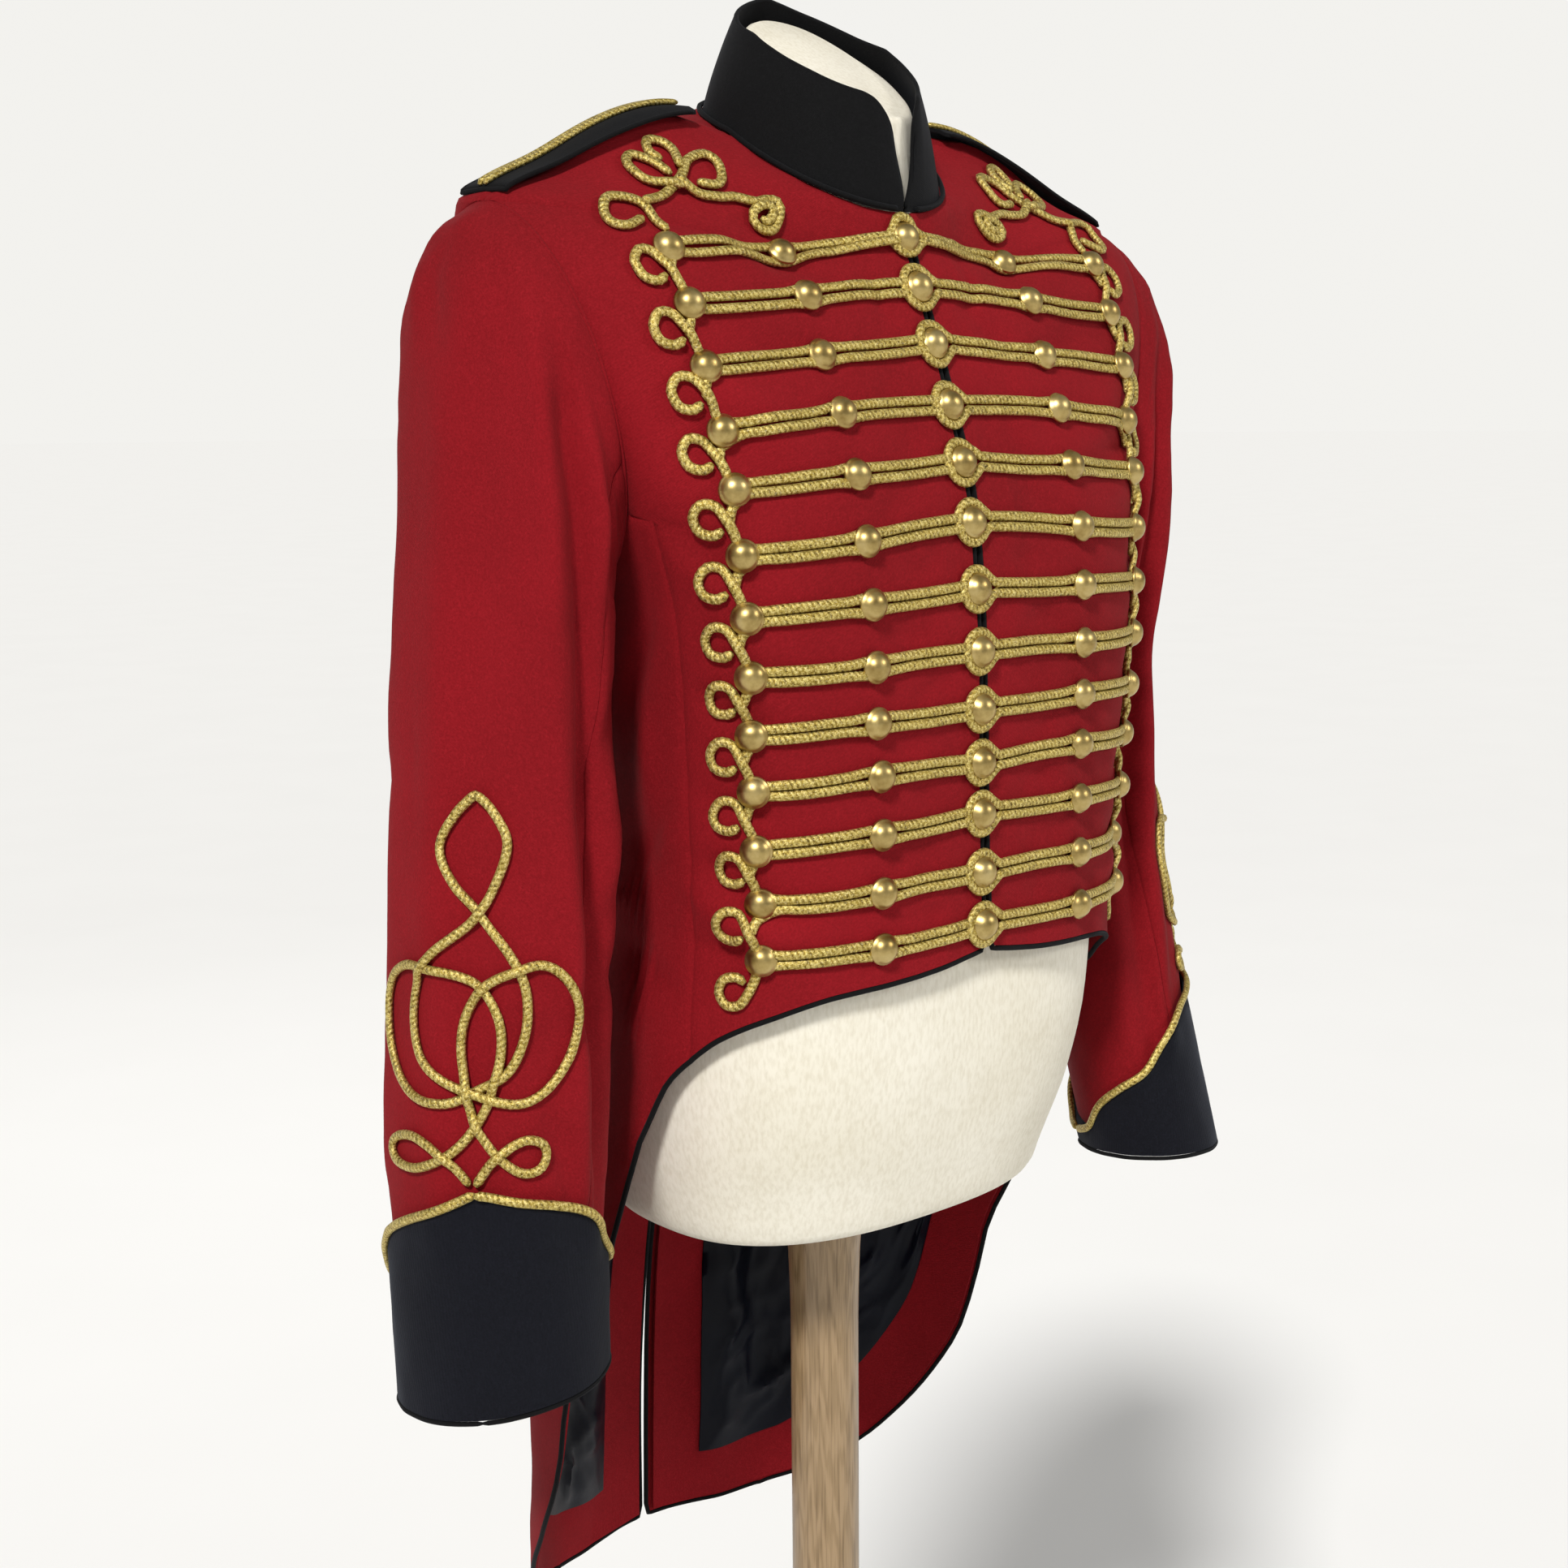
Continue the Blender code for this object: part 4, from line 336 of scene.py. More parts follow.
def coat_normal(angle, level):
    """Outward unit normal of the coat surface."""
    da, dl = 0.4, 1.5
    low = max(angle - da, 0.05)
    high = min(angle + da, FULL - 0.05)
    along = coat_point(high, level) - coat_point(low, level)
    down = coat_point(angle, level - dl) - coat_point(angle, level + dl)
    n = down.cross(along)
    n.normalize()
    if level > SHOULDER_LEVEL + 20:
        flipped = n.z < 0
    else:
        outward = coat_point(angle, level)
        flipped = n.x * outward.x + n.y * (outward.y - ring_at(level)[3]) + n.z * 5 < 0
    if flipped:
        n.negate()
    return n


def crease_sum(creases, x, y, scale_x, scale_y, shift):
    """Relief of all creases of a table at a place; the places are scaled to mm."""
    total = 0.0
    for k, (x0, y0, x1, y1, depth, width) in enumerate(creases):
        px, py = (x - x0) * scale_x, (y - y0) * scale_y
        qx, qy = (x1 - x0) * scale_x, (y1 - y0) * scale_y
        length = math.hypot(qx, qy)
        t = (px * qx + py * qy) / (length * length)
        if not -0.35 < t < 1.35:
            continue
        wander = 0.35 * width * math.sin(5.1 * t + 2.3 * k + shift)
        off = (px * qy - py * qx) / length + wander
        if abs(off) > 3 * width:
            continue
        fade = max(0.0, 1.0 - (2 * t - 1) ** 2 / 2.4)
        wide = width * (0.75 + 0.5 * t)
        vary = 1.0 + 0.25 * math.sin(1.7 * k + 2 * shift)
        total += depth * vary * fade * fade * math.exp(-(off / wide) ** 2)
    return total


def cloth_relief(sign, angle, level):
    """Creases and gentle unevenness of the coat, along the normal."""
    shift = 0.0 if sign < 0 else 1.9
    total = 2.1 * crease_sum(CREASES, angle, level, 2.7, 1.0, shift)
    place = Vector((angle * 0.055, level * 0.016, 3.1 * sign))
    uneven = 1.3 * noise.noise(place) + 0.6 * noise.noise(place * 2.7)
    return total + uneven * min(1.0, (FULL - angle) / 8.0)


# ---------------------------------------------------------------- meshes
def mesh_object(name, points, faces, finish, uvs=None, sharp=50.0):
    """A smooth-shaded object from points in mm."""
    mesh = bpy.data.meshes.new(name)
    mesh.from_pydata([(0.001 * p[0], 0.001 * p[1], 0.001 * p[2]) for p in points], [], faces)
    if uvs:
        layer = mesh.uv_layers.new(name="uv")
        for loop, uv in zip(layer.data, uvs):
            loop.uv = uv
    shape = bmesh.new()
    shape.from_mesh(mesh)
    bmesh.ops.recalc_face_normals(shape, faces=shape.faces)
    shape.to_mesh(mesh)
    shape.free()
    mesh.shade_smooth()
    mesh.set_sharp_from_angle(angle=math.radians(sharp))
    mesh.materials.append(finish)
    made = bpy.data.objects.new(name, mesh)
    bpy.context.scene.collection.objects.link(made)
    return made


def run_lengths(points):
    out = [0.0]
    for a, b in zip(points, points[1:]):
        out.append(out[-1] + (b - a).length)
    return out


def shell(name, outer, inner, finish, wrap=False, edge_round=0.0):
    """A thin closed shell between two grids; UVs are in units of 100 mm along rows and columns."""
    rows, columns = len(outer), len(outer[0])
    points = [p for grid in (outer, inner) for row in grid for p in row]
    us = run_lengths(outer[rows // 2] + (outer[rows // 2][:1] if wrap else []))
    vs = run_lengths([row[columns // 2] for row in outer])
    faces, uvs = [], []

    def at(layer, i, j):
        return layer * rows * columns + i * columns + j % columns

    def quad(*corners):
        faces.append(tuple(at(*c) for c in corners))
        uvs.extend((us[c[2]] / 100, vs[c[1]] / 100) for c in corners)

    last = columns if wrap else columns - 1
    for i in range(rows - 1):
        for j in range(last):
            quad((0, i, j), (0, i + 1, j), (0, i + 1, j + 1), (0, i, j + 1))
            quad((1, i, j), (1, i, j + 1), (1, i + 1, j + 1), (1, i + 1, j))
    for j in range(last):
        quad((0, 0, j), (0, 0, j + 1), (1, 0, j + 1), (1, 0, j))
        quad((0, rows - 1, j + 1), (0, rows - 1, j), (1, rows - 1, j), (1, rows - 1, j + 1))
    if not wrap:
        for i in range(rows - 1):
            quad((0, i + 1, 0), (0, i, 0), (1, i, 0), (1, i + 1, 0))
            quad((0, i, last), (0, i + 1, last), (1, i + 1, last), (1, i, last))
    made = mesh_object(name, points, faces, finish, uvs)
    if edge_round:
        soften(made, edge_round)
    return made


def soften(made, width):
    """Round an object's hard edges by a small bevel."""
    bevel = made.modifiers.new("round", "BEVEL")
    bevel.width = 0.001 * width
    bevel.segments = 2
    bevel.limit_method = "ANGLE"
    bevel.angle_limit = math.radians(50)


def sheet_of(made, nodes, outer, wrap=False):
    """Hang a cloth piece on the root and hide the parts it replaces; its flat width, length and area
    are worked out but not kept.
    """
    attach(made, "root")
    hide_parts(*nodes)
    rows = [row + row[:1] for row in outer] if wrap else outer
    width = max(run_lengths([Vector((p.x, p.y, 0.0)) for p in row])[-1] for row in rows) / 1000
    length = max(run_lengths([row[j] for row in rows])[-1] for j in range(len(rows[0]))) / 1000
    area = 0.0
    for upper, lower in zip(rows, rows[1:]):
        for a, b, c, d in zip(upper, upper[1:], lower[1:], lower):
            area += ((c - a).cross(d - b)).length / 2e6
    area = min(area, width * length)


def piece_of(made, nodes):
    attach(made, "root")
    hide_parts(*nodes)


def facets(grid, wrap=False):
    """Search tree over a grid's facets."""
    columns = len(grid[0])
    points = [p for row in grid for p in row]
    faces = []
    for i in range(len(grid) - 1):
        for j in range(columns if wrap else columns - 1):
            k = (j + 1) % columns
            a, b = i * columns + j, (i + 1) * columns + j
            c, d = (i + 1) * columns + k, i * columns + k
            faces += [(a, b, c), (a, c, d)]
    return BVHTree.FromPolygons(points, faces)


# ---------------------------------------------------------------- cords
def catmull(a, b, c, d, t):
    return 0.5 * (2 * b + (c - a) * t + (2 * a - 5 * b + 4 * c - d) * t ** 2
                  + (3 * b - a - 3 * c + d) * t ** 3)


def rounded(points, spacing):
    """Smooth path through given points, at an even spacing."""
    dense = []
    last = len(points) - 1
    for i in range(last):
        four = (points[max(i - 1, 0)], points[i], points[i + 1], points[min(i + 2, last)])
        for k in range(12):
            dense.append(tuple(catmull(*parts, k / 12) for parts in zip(*four)))
    dense.append(tuple(points[-1]))
    return even(dense, spacing)


def even(dense, spacing):
    """Points at an even spacing along a dense path."""
    lengths = [0.0]
    for a, b in zip(dense, dense[1:]):
        lengths.append(lengths[-1] + math.dist(a, b))
    count = max(2, round(lengths[-1] / spacing))
    out = []
    for k in range(count + 1):
        target = lengths[-1] * k / count
        i = min(max(bisect.bisect_right(lengths, target) - 1, 0), len(dense) - 2)
        t = (target - lengths[i]) / max(lengths[i + 1] - lengths[i], 1e-9)
        out.append(tuple(a + (b - a) * t for a, b in zip(dense[i], dense[i + 1])))
    return out


class Ropes:
    """Cords gathered into one mesh; each is raised where it crosses one laid before it."""

    def __init__(self, half=CORD_HALF, rise=CORD_RISE, sides=8):
        self.half = half
        self.rise = rise
        self.sides = sides
        self.points = []
        self.faces = []
        self.uvs = []
        self.middles = []

    def lay(self, path, hop=True):
        """path is a list of (point on the cloth, normal)."""
        lifts = self.hops(path) if hop else [0.0] * len(path)
        centres = [p + n * (self.rise + LIFT * 0.5 + lift) for (p, n), lift in zip(path, lifts)]
        self.middles += [(c.copy(), len(self.middles)) for c in centres]
        self.skin(centres, [n for _, n in path])

    def hops(self, path):
        reach = 2 * self.half
        lifts = [0.0] * len(path)
        for i, (p, n) in enumerate(path):
            here = p + n * self.rise
            near = min((math.dist(here, q) for q, _ in self.middles[-4000:]
                        if abs(q.x - here.x) < reach and abs(q.z - here.z) < 3 * reach), default=99)
            own = min((math.dist(p, path[j][0]) for j in range(0, i - 7)), default=99)
            near = min(near, own)
            lifts[i] = 1.5 * self.rise * max(0.0, 1.0 - (near / reach) ** 2)
        for _ in range(3):
            lifts = [(lifts[max(i - 1, 0)] + 2 * lifts[i] + lifts[min(i + 1, len(lifts) - 1)]) / 4
                     for i in range(len(lifts))]
        return lifts

    def skin(self, centres, normals):
        first = len(self.points)
        count = len(centres)
        sides = self.sides
        along = 0.0
        runs = []
        for i, c in enumerate(centres):
            before, after = centres[max(i - 1, 0)], centres[min(i + 1, count - 1)]
            way = (after - before).normalized()
            n = (normals[i] - way * normals[i].dot(way)).normalized()
            across = way.cross(n)
            if i:
                along += (c - centres[i - 1]).length
            runs.append(along)
            end = 0.55 if i in (0, count - 1) else 1.0
            for k in range(sides):
                a = 2 * math.pi * k / sides
                self.points.append(c + across * (self.half * end * math.cos(a))
                                   + n * (self.rise * end * math.sin(a)))
        for i in range(count - 1):
            for k in range(sides):
                m = (k + 1) % sides
                a, b = first + i * sides, first + (i + 1) * sides
                self.faces.append((a + k, a + m, b + m, b + k))
                for row, share in ((i, k), (i, k + 1), (i + 1, k + 1), (i + 1, k)):
                    self.uvs.append((runs[row] / 100, share / sides))
        for ring, turn in ((0, -1), (count - 1, 1)):
            start = first + ring * sides
            cap = list(range(start, start + sides))[::turn]
            self.faces.append(tuple(cap))
            self.uvs += [(runs[ring] / 100, k / sides) for k in range(sides)]

    def build(self, name, finish):
        return mesh_object(name, self.points, self.faces, finish, self.uvs, sharp=80.0)


# ---------------------------------------------------------------- coat panels
def armhole_point(step):
    """A point of the armhole on the +X side; step 0 is the shoulder end, rising towards the front."""
    a = 2 * math.pi * step / ARM_STEPS
    t = 0.5 - 0.5 * math.cos(a)
    x = ARMHOLE_TOP[0] + (ARMHOLE_LOW[0] - ARMHOLE_TOP[0]) * t
    z = ARMHOLE_TOP[1] + (ARMHOLE_LOW[1] - ARMHOLE_TOP[1]) * t
    return Vector((x, -ARMHOLE_HALF_DEPTH * math.sin(a), z))


def armhole_place(step):
    """Angle and level of the coat surface nearest to an armhole point."""
    target = armhole_point(step)
    angle, level = 90.0, target.z
    size_a, size_l = 24.0, 12.0
    best = (coat_point(angle, level) - target).length
    while size_a > 0.05:
        moved = False
        for da, dl in ((size_a, 0), (-size_a, 0), (0, size_l), (0, -size_l)):
            gap = (coat_point(angle + da, level + dl) - target).length
            if gap < best:
                best = gap
                angle += da
                level += dl
                moved = True
        if not moved:
            size_a *= 0.5
            size_l *= 0.5
    return angle, level


def seamed(count):
    """Shares from 0 to 1, crowded at both ends where the cloth rolls into its seams."""
    return [0.0, 0.006, 0.014] + spread(0.03, 0.97, count) + [0.986, 0.994, 1.0]


def front_rows():
    """(row of places, armhole step or None) from the neckline to the hem."""
    ends = [((90.0, level), None)
            for level in spread(NECK_LEVEL, SHOULDER_LEVEL, count_of(18))[:-1]]
    steps = spread(0, SIDE_FRONT_STEP, count_of(34))
    ends += [(armhole_place(step), step) for step in steps]
    shares = seamed(count_of(54))
    rows = [([(front_angle(angle, s, level), level) for s in shares], step)
            for (angle, level), step in ends]
    top = ends[-1][0][1]
    low_angle = side_front_angle(hem_height(73.0))
    for s in spread(0, 1, count_of(64))[1:]:
        row = []
        for share in shares:
            level = top + (hem_height(share * low_angle) - top) * s
            row.append((front_angle(side_front_angle(level), share, level), level))
        rows.append((row, None))
    return rows


def front_angle(edge, share, level):
    p = coat_point(0.0, level)
    start = math.degrees(math.atan2(EDGE_GAP, ring_at(level)[3] - p.y))
    return start + (edge - start) * share


def side_front_angle(level):
    return side_front_table(level)[1]


def side_rows():
    steps = [SIDE_FRONT_STEP + (SIDE_BACK_STEP - SIDE_FRONT_STEP) * s for s in seamed(count_of(34))]
    tops = [armhole_place(step) for step in steps]
    low_front = side_front_angle(hem_height(73.0))
    low_back = side_back_table(600.0)[1]
    rows = [(tops, steps)]
    for s in spread(0, 1, count_of(110))[1:]:
        row = []
        for j, (_, top_level) in enumerate(tops):
            u = (steps[j] - SIDE_FRONT_STEP) / (SIDE_BACK_STEP - SIDE_FRONT_STEP)
            crowd = u ** 1.25
            hem = hem_height(low_front + (low_back - low_front) * crowd)
            level = top_level + (hem - top_level) * s
            left = side_front_angle(level)
            right = side_back_table(level)[1]
            row.append((left + (right - left) * (u + (crowd - u) * s), level))
        rows.append((row, None))
    return rows


def back_rows():
    shares = seamed(count_of(46))
    starts = [((90.0, level), None)
              for level in spread(NECK_LEVEL, SHOULDER_LEVEL, count_of(18))[:-1]]
    steps = spread(ARM_STEPS, SIDE_BACK_STEP, count_of(38))
    starts += [(armhole_place(step), step) for step in steps]
    rows = [([(back_angle(angle, s, level), level) for s in shares], step)
            for (angle, level), step in starts]
    top = starts[-1][0][1]
    low_back = side_back_table(600.0)[1]
    for s in spread(0, 1, count_of(110))[1:]:
        row = []
        for share in shares:
            hem = hem_height(low_back + (FULL - low_back) * share)
            level = top + (hem - top) * s
            row.append((back_angle(side_back_table(level)[1], share, level), level))
        rows.append((row, None))
    return rows


def back_angle(edge, share, level):
    gap = EDGE_GAP if level < VENT_TOP else SEAM / 2
    depth = coat_point(FULL, level).y - ring_at(level)[3]
    end = FULL - math.degrees(math.atan2(gap, depth))
    return edge + (end - edge) * share


def panel_grids(part, rows, sign, seams):
    """Outer and inner grids of a panel, drawn to the armhole, rolled in at its seams."""
    outer, inner = [], []
    for i, (row, step) in enumerate(rows):
        points, normals = [], []
        for j, (angle, level) in enumerate(row):
            p = coat_point(angle, level)
            n = coat_normal(angle, level)
            points.append(p)
            normals.append(n)
        reliefs = [cloth_relief(sign, angle, level) for angle, level in row]
        if part in ("front", "back") and step is not None:
            edge = -1 if part == "front" else 0
            pull = armhole_point(step) - points[edge]
            runs = run_lengths(points)
            for j, run in enumerate(runs):
                share = (run if part == "front" else runs[-1] - run) / runs[-1]
                points[j] = points[j] + pull * share ** 3
                reliefs[j] *= 1.0 - share ** 10
        if part == "side" and i == 0:
            points = [armhole_point(s) for s in step]
            reliefs = [0.0] * len(points)
        if part == "side" and 0 < i < 8:
            reliefs = [r * i / 8 for r in reliefs]
        runs = run_lengths(points)
        for j, run in enumerate(runs):
            if "first" in seams:
                reliefs[j] -= 0.9 * math.exp(-(run / 2.2) ** 2)
            if "last" in seams and (part != "back" or row[j][1] > VENT_TOP):
                reliefs[j] -= 0.9 * math.exp(-((runs[-1] - run) / 2.2) ** 2)
        top = [p + n * r for p, n, r in zip(points, normals, reliefs)]
        under = [p - n * CLOTH for p, n in zip(top, normals)]
        outer.append([Vector((p.x * sign, p.y, p.z)) for p in top])
        inner.append([Vector((p.x * sign, p.y, p.z)) for p in under])
    return outer, inner


def build_panels(finish):
    grids = {}
    specs = (("front", front_rows(), ("last",)), ("side", side_rows(), ("first", "last")),
             ("back", back_rows(), ("first", "last")))
    for label, sign in SIDES:
        for part, rows, seams in specs:
            outer, inner = panel_grids(part, rows, sign, seams)
            name = "%s_%s" % (part, label)
            made = shell("wool_" + name, outer, inner, finish)
            sheet_of(made, [name], outer)
            grids[part, label] = (outer, inner)
    return grids


# ---------------------------------------------------------------- sleeves and cuffs
def sleeve_relief(label, angle, k):
    """Long folds, creases and the gathered head of a sleeve."""
    s = min(max((k - 1) / (SECTIONS - 3), 0.0), 1.0)
    total = 0.0
    for top, low, depth, width in FOLDS:
        off = (angle - (top + (low - top) * s) + FULL) % 360.0 - FULL
        total += depth * math.exp(-(off / width) ** 2)
    total *= math.sin(math.pi * s) ** 0.6
    turned = angle % 360.0
    shift = 0.0 if label == "right" else 2.2
    for way in (-360.0, 0.0):
        total += 1.7 * crease_sum(SLEEVE_CREASES, turned + way, k, 0.95, 55.0, shift)
    head = math.exp(-((k - 0.55) / 0.6) ** 2) * max(0.0, math.cos(math.radians(angle)))
    total += head * (0.8 * math.sin(math.radians(angle) * 17 + shift) + 1.2)
    place = Vector((math.cos(math.radians(angle)), math.sin(math.radians(angle)), k * 0.9 + shift))
    total += 1.0 * noise.noise(place * 1.6) + 0.5 * noise.noise(place * 4.1)
    return total * min(1.0, k / 0.5)


def sleeve_point(label, angle, k, proud=0.0, relief=True):
    """Outer face of a sleeve as if at +X; angle 0 is outward, 90 the front; k counts sections."""
    _, z_out, x_out, z_in, x_in, y_mid, depth, skew = sleeve_table[label](k)
    a = math.radians(angle)
    c, s = math.cos(a), math.sin(a)
    half = (x_out - x_in) / 2
    extra = proud + (sleeve_relief(label, angle, k) if relief else 0.0)
    x = (x_out + x_in) / 2 + (half + extra) * c
    z = (z_out + z_in) / 2 + (z_out - z_in) / 2 * c
    return Vector((x, y_mid - (depth + extra) * s + skew * c, z))


def build_sleeves(finish):
    """Top and under sleeves; returns a search tree of each whole sleeve."""
    trees = {}
    front_seam, back_seam = SLEEVE_SEAMS
    axis = Vector((ARMHOLE_TOP[1] - ARMHOLE_LOW[1], 0.0, ARMHOLE_LOW[0] - ARMHOLE_TOP[0])).normalized()
    ks = [0.0, 0.03, 0.08, 0.15, 0.25] + spread(0.35, SLEEVE_END, count_of(104))
    for label, sign in SIDES:
        for name, first, last in (("top_sleeve_", back_seam - ARM_STEPS, front_seam),
                                  ("under_sleeve_", front_seam, back_seam)):
            outer, inner = [], []
            turns = [first + (last - first) * s for s in seamed(count_of(5 * (last - first)))]
            edges = (360.0 * first / ARM_STEPS + 0.2, 360.0 * last / ARM_STEPS - 0.2)
            for k in ks:
                rows = ([], [])
                for turn in turns:
                    angle = min(max(360.0 * turn / ARM_STEPS, edges[0]), edges[1])
                    off = min(abs(angle - edges[0]), abs(angle - edges[1]))
                    roll = 0.9 * math.exp(-(off / 2.2) ** 2) + 1.0 * math.exp(-(k / 0.06) ** 2)
                    for row, proud in zip(rows, (-roll, -roll - CLOTH)):
                        p = sleeve_point(label, angle, k, proud)
                        p = p + axis * (0.6 * max(0.0, 1 - k / 0.3))
                        row.append(Vector((p.x * sign, p.y, p.z)))
                outer.append(rows[0])
                inner.append(rows[1])
            made = shell("wool_" + name + label, outer, inner, finish)
            sheet_of(made, [name + label], outer)
        whole = [[sleeve_point(label, 3.0 * j, k) for j in range(120)]
                 for k in spread(0, SLEEVE_END, count_of(90))]
        trees[label] = facets([[Vector((p.x * sign, p.y, p.z)) for p in row] for row in whole], True)
    return trees


def build_armhole_seams(finish):
    """The turned-in cloth at the bottom of each armhole seam."""
    for label, sign in SIDES:
        rope = Ropes(1.5, 1.5, 8)
        path = []
        for step in spread(0, ARM_STEPS, 120):
            p = armhole_point(step % ARM_STEPS)
            middle = Vector((190.5, 0.0, 1308.5))
            out = (p - middle).normalized()
            path.append((p - out * 3.3, out))
        rope.lay([(Vector((p.x * sign, p.y, p.z)), Vector((n.x * sign, n.y, n.z)))
                  for p, n in path], hop=False)
        piece_of(rope.build("armhole_seam_" + label, finish), [])


def section_of(label, angle, height):
    """Section number of the sleeve at which a given angle reaches a height."""
    low, high = 0.0, float(SECTIONS - 1)
    for _ in range(16):
        middle = (low + high) / 2
        if sleeve_point(label, angle, middle, relief=False).z > height:
            low = middle
        else:
            high = middle
    return (low + high) / 2


def cuff_low(label, angle):
    return CUFF_LOW[label] + CUFF_TILT * math.sin(math.radians(angle - KNOT_ANGLE))


def cuff_top(label, angle):
    """Height of the cuff's pointed upper edge, a little rounded at the point."""
    off = abs((angle - KNOT_ANGLE + FULL) % 360.0 - FULL)
    off = math.hypot(off, 2.5) - 2.5 * math.exp(-off / 6)
    height = curve_value([row[0] for row in CUFF_EDGE], [row[1] for row in CUFF_EDGE], off)
    return cuff_low(label, angle) + CUFF_SCALE[label] * height


def cuff_place(label, angle, height, proud):
    p = sleeve_point(label, angle, section_of(label, angle, height), proud)
    return Vector((p.x, p.y, height))


def build_cuffs(finish, black):
    for label, sign in SIDES:
        grids = ([], [])
        for share in (0.0, 0.01, 0.03) + tuple(spread(0.07, 1.0, count_of(22))):
            rows = ([], [])
            for j in range(count_of(120)):
                angle = KNOT_ANGLE + 360.0 * j / count_of(120)
                top, low = cuff_top(label, angle), cuff_low(label, angle)
                height = top + (low - top) * share
                swell = 0.5 * noise.noise(Vector((math.cos(math.radians(angle)) * 2, height * 0.03,
                                                  math.sin(math.radians(angle)) * 2 + sign)))
                for row, proud in zip(rows, (CUFF_PROUD + CLOTH + swell, CUFF_PROUD + swell)):
                    p = cuff_place(label, angle, height, proud)
                    row.append(Vector((p.x * sign, p.y, p.z)))
            for grid, row in zip(grids, rows):
                grid.append(row)
        made = shell("wool_cuff_" + label, grids[0], grids[1], finish, wrap=True, edge_round=0.4)
        sheet_of(made, ["cuff_" + label], grids[0], True)
        rope = Ropes(1.3, 1.3, 8)
        edge = [(a + b) / 2 for a, b in zip(grids[0][-1], grids[1][-1])]
        edge.append(edge[0])
        rope.lay([(p + Vector((0, 0, -0.2)), Vector((0.0, 0.0, -1.0))) for p in edge], hop=False)
        piece_of(rope.build("cuff_piping_" + label, black), [])


# ---------------------------------------------------------------- collar and straps
def neck_point(angle):
    p = coat_point(abs(angle), NECK_LEVEL)
    return Vector((math.copysign(p.x, angle) if abs(angle) < FULL else 0.0, p.y, p.z))


def neck_out(angle):
    p = neck_point(angle)
    return Vector((p.x, p.y - RINGS[0][3], 0.0)).normalized()


def collar_angles():
    half = [0.9, 1.2, 1.7, 2.4, 3.4, 4.6, 6.0, 8.0, 10.5] + spread(13.0, 178.0, count_of(64))
    return [-a for a in half] + [FULL] + half[::-1]


def collar_point(angle, share):
    """Outer face of the collar, leaning in; the fronts open in a V, wider on the wearer's left."""
    size = abs(angle)
    _, height, lean = collar_table(size)
    swing = COLLAR_OPEN["left" if angle > 0 else "right"] * share * max(0.0, 1.0 - size / 30.0)
    turned = math.copysign(min(size + swing, FULL), angle)
    swell = 1.2 * math.sin(math.pi * share) + 0.7 * noise.noise(
        Vector((size * 0.03, share * 1.6, math.copysign(5.0, angle) if size < FULL else 5.0)))
    rise = Vector((0.0, 0.0, LIFT + 0.4 + height * share))
    return neck_point(turned) + rise + neck_out(turned) * (swell - lean * share)


def build_collar(black):
    outer, inner = [], []
    for share in [0.0, 0.02, 0.06] + spread(0.14, 0.94, 8) + [0.98, 1.0]:
        outer.append([collar_point(angle, share) for angle in collar_angles()])
        inner.append([p - neck_out(angle) * COLLAR_CLOTH
                      for p, angle in zip(outer[-1], collar_angles())])
    made = shell("wool_collar", outer, inner, black, edge_round=0.8)
    sheet_of(made, ["collar"], outer)
    rope = Ropes(1.5, 1.4, 8)
    for side in (-1.0, 1.0):
        path = []
        for angle in [6.0, 6.6] + spread(8.0, 179.9, count_of(80)):
            out = neck_out(side * angle)
            path.append((neck_point(side * angle) + out * 0.1 + Vector((0.0, 0.0, 1.9)), out))
        rope.lay(path, hop=False)
    edge = Ropes(ROLLED_EDGE, ROLLED_EDGE, 8)
    rim = [(outer[k][0] + inner[k][0]) / 2 for k in range(2, len(outer))]
    rim += [(a + b) / 2 for a, b in zip(outer[-1], inner[-1])][1:]
    rim += [(outer[k][-1] + inner[k][-1]) / 2 for k in range(len(outer) - 2, 1, -1)]
    path = [Vector(p) for p in even([tuple(p) for p in rim], 2.0)]
    middle = Vector((0.0, 0.0, 1440.0))
    outs = [(p - middle).normalized() for p in path]
    edge.skin([p + Vector((0.0, 0.0, 0.2)) for p in path], outs)
    piece_of(rope.build("seam_piping_collar", black), ["collar_piping"])
    piece_of(edge.build("rolled_edge_collar", black), [])


def drop_down(trees, x, y):
    """Highest point and its normal under (x, y)."""
    hits = [tree.ray_cast(Vector((x, y, 1700.0)), Vector((0.0, 0.0, -1.0)))[:2] for tree in trees]
    hits = [h for h in hits if h[0] is not None]
    if hits:
        return max(hits, key=lambda h: h[0].z)
    place = Vector((x, y, ARMHOLE_TOP[1]))
    near = [tree.find_nearest(place)[:2] for tree in trees]
    return min(near, key=lambda h: (h[0] - place).length)


def upward(n):
    return n if n.z > 0 else -n


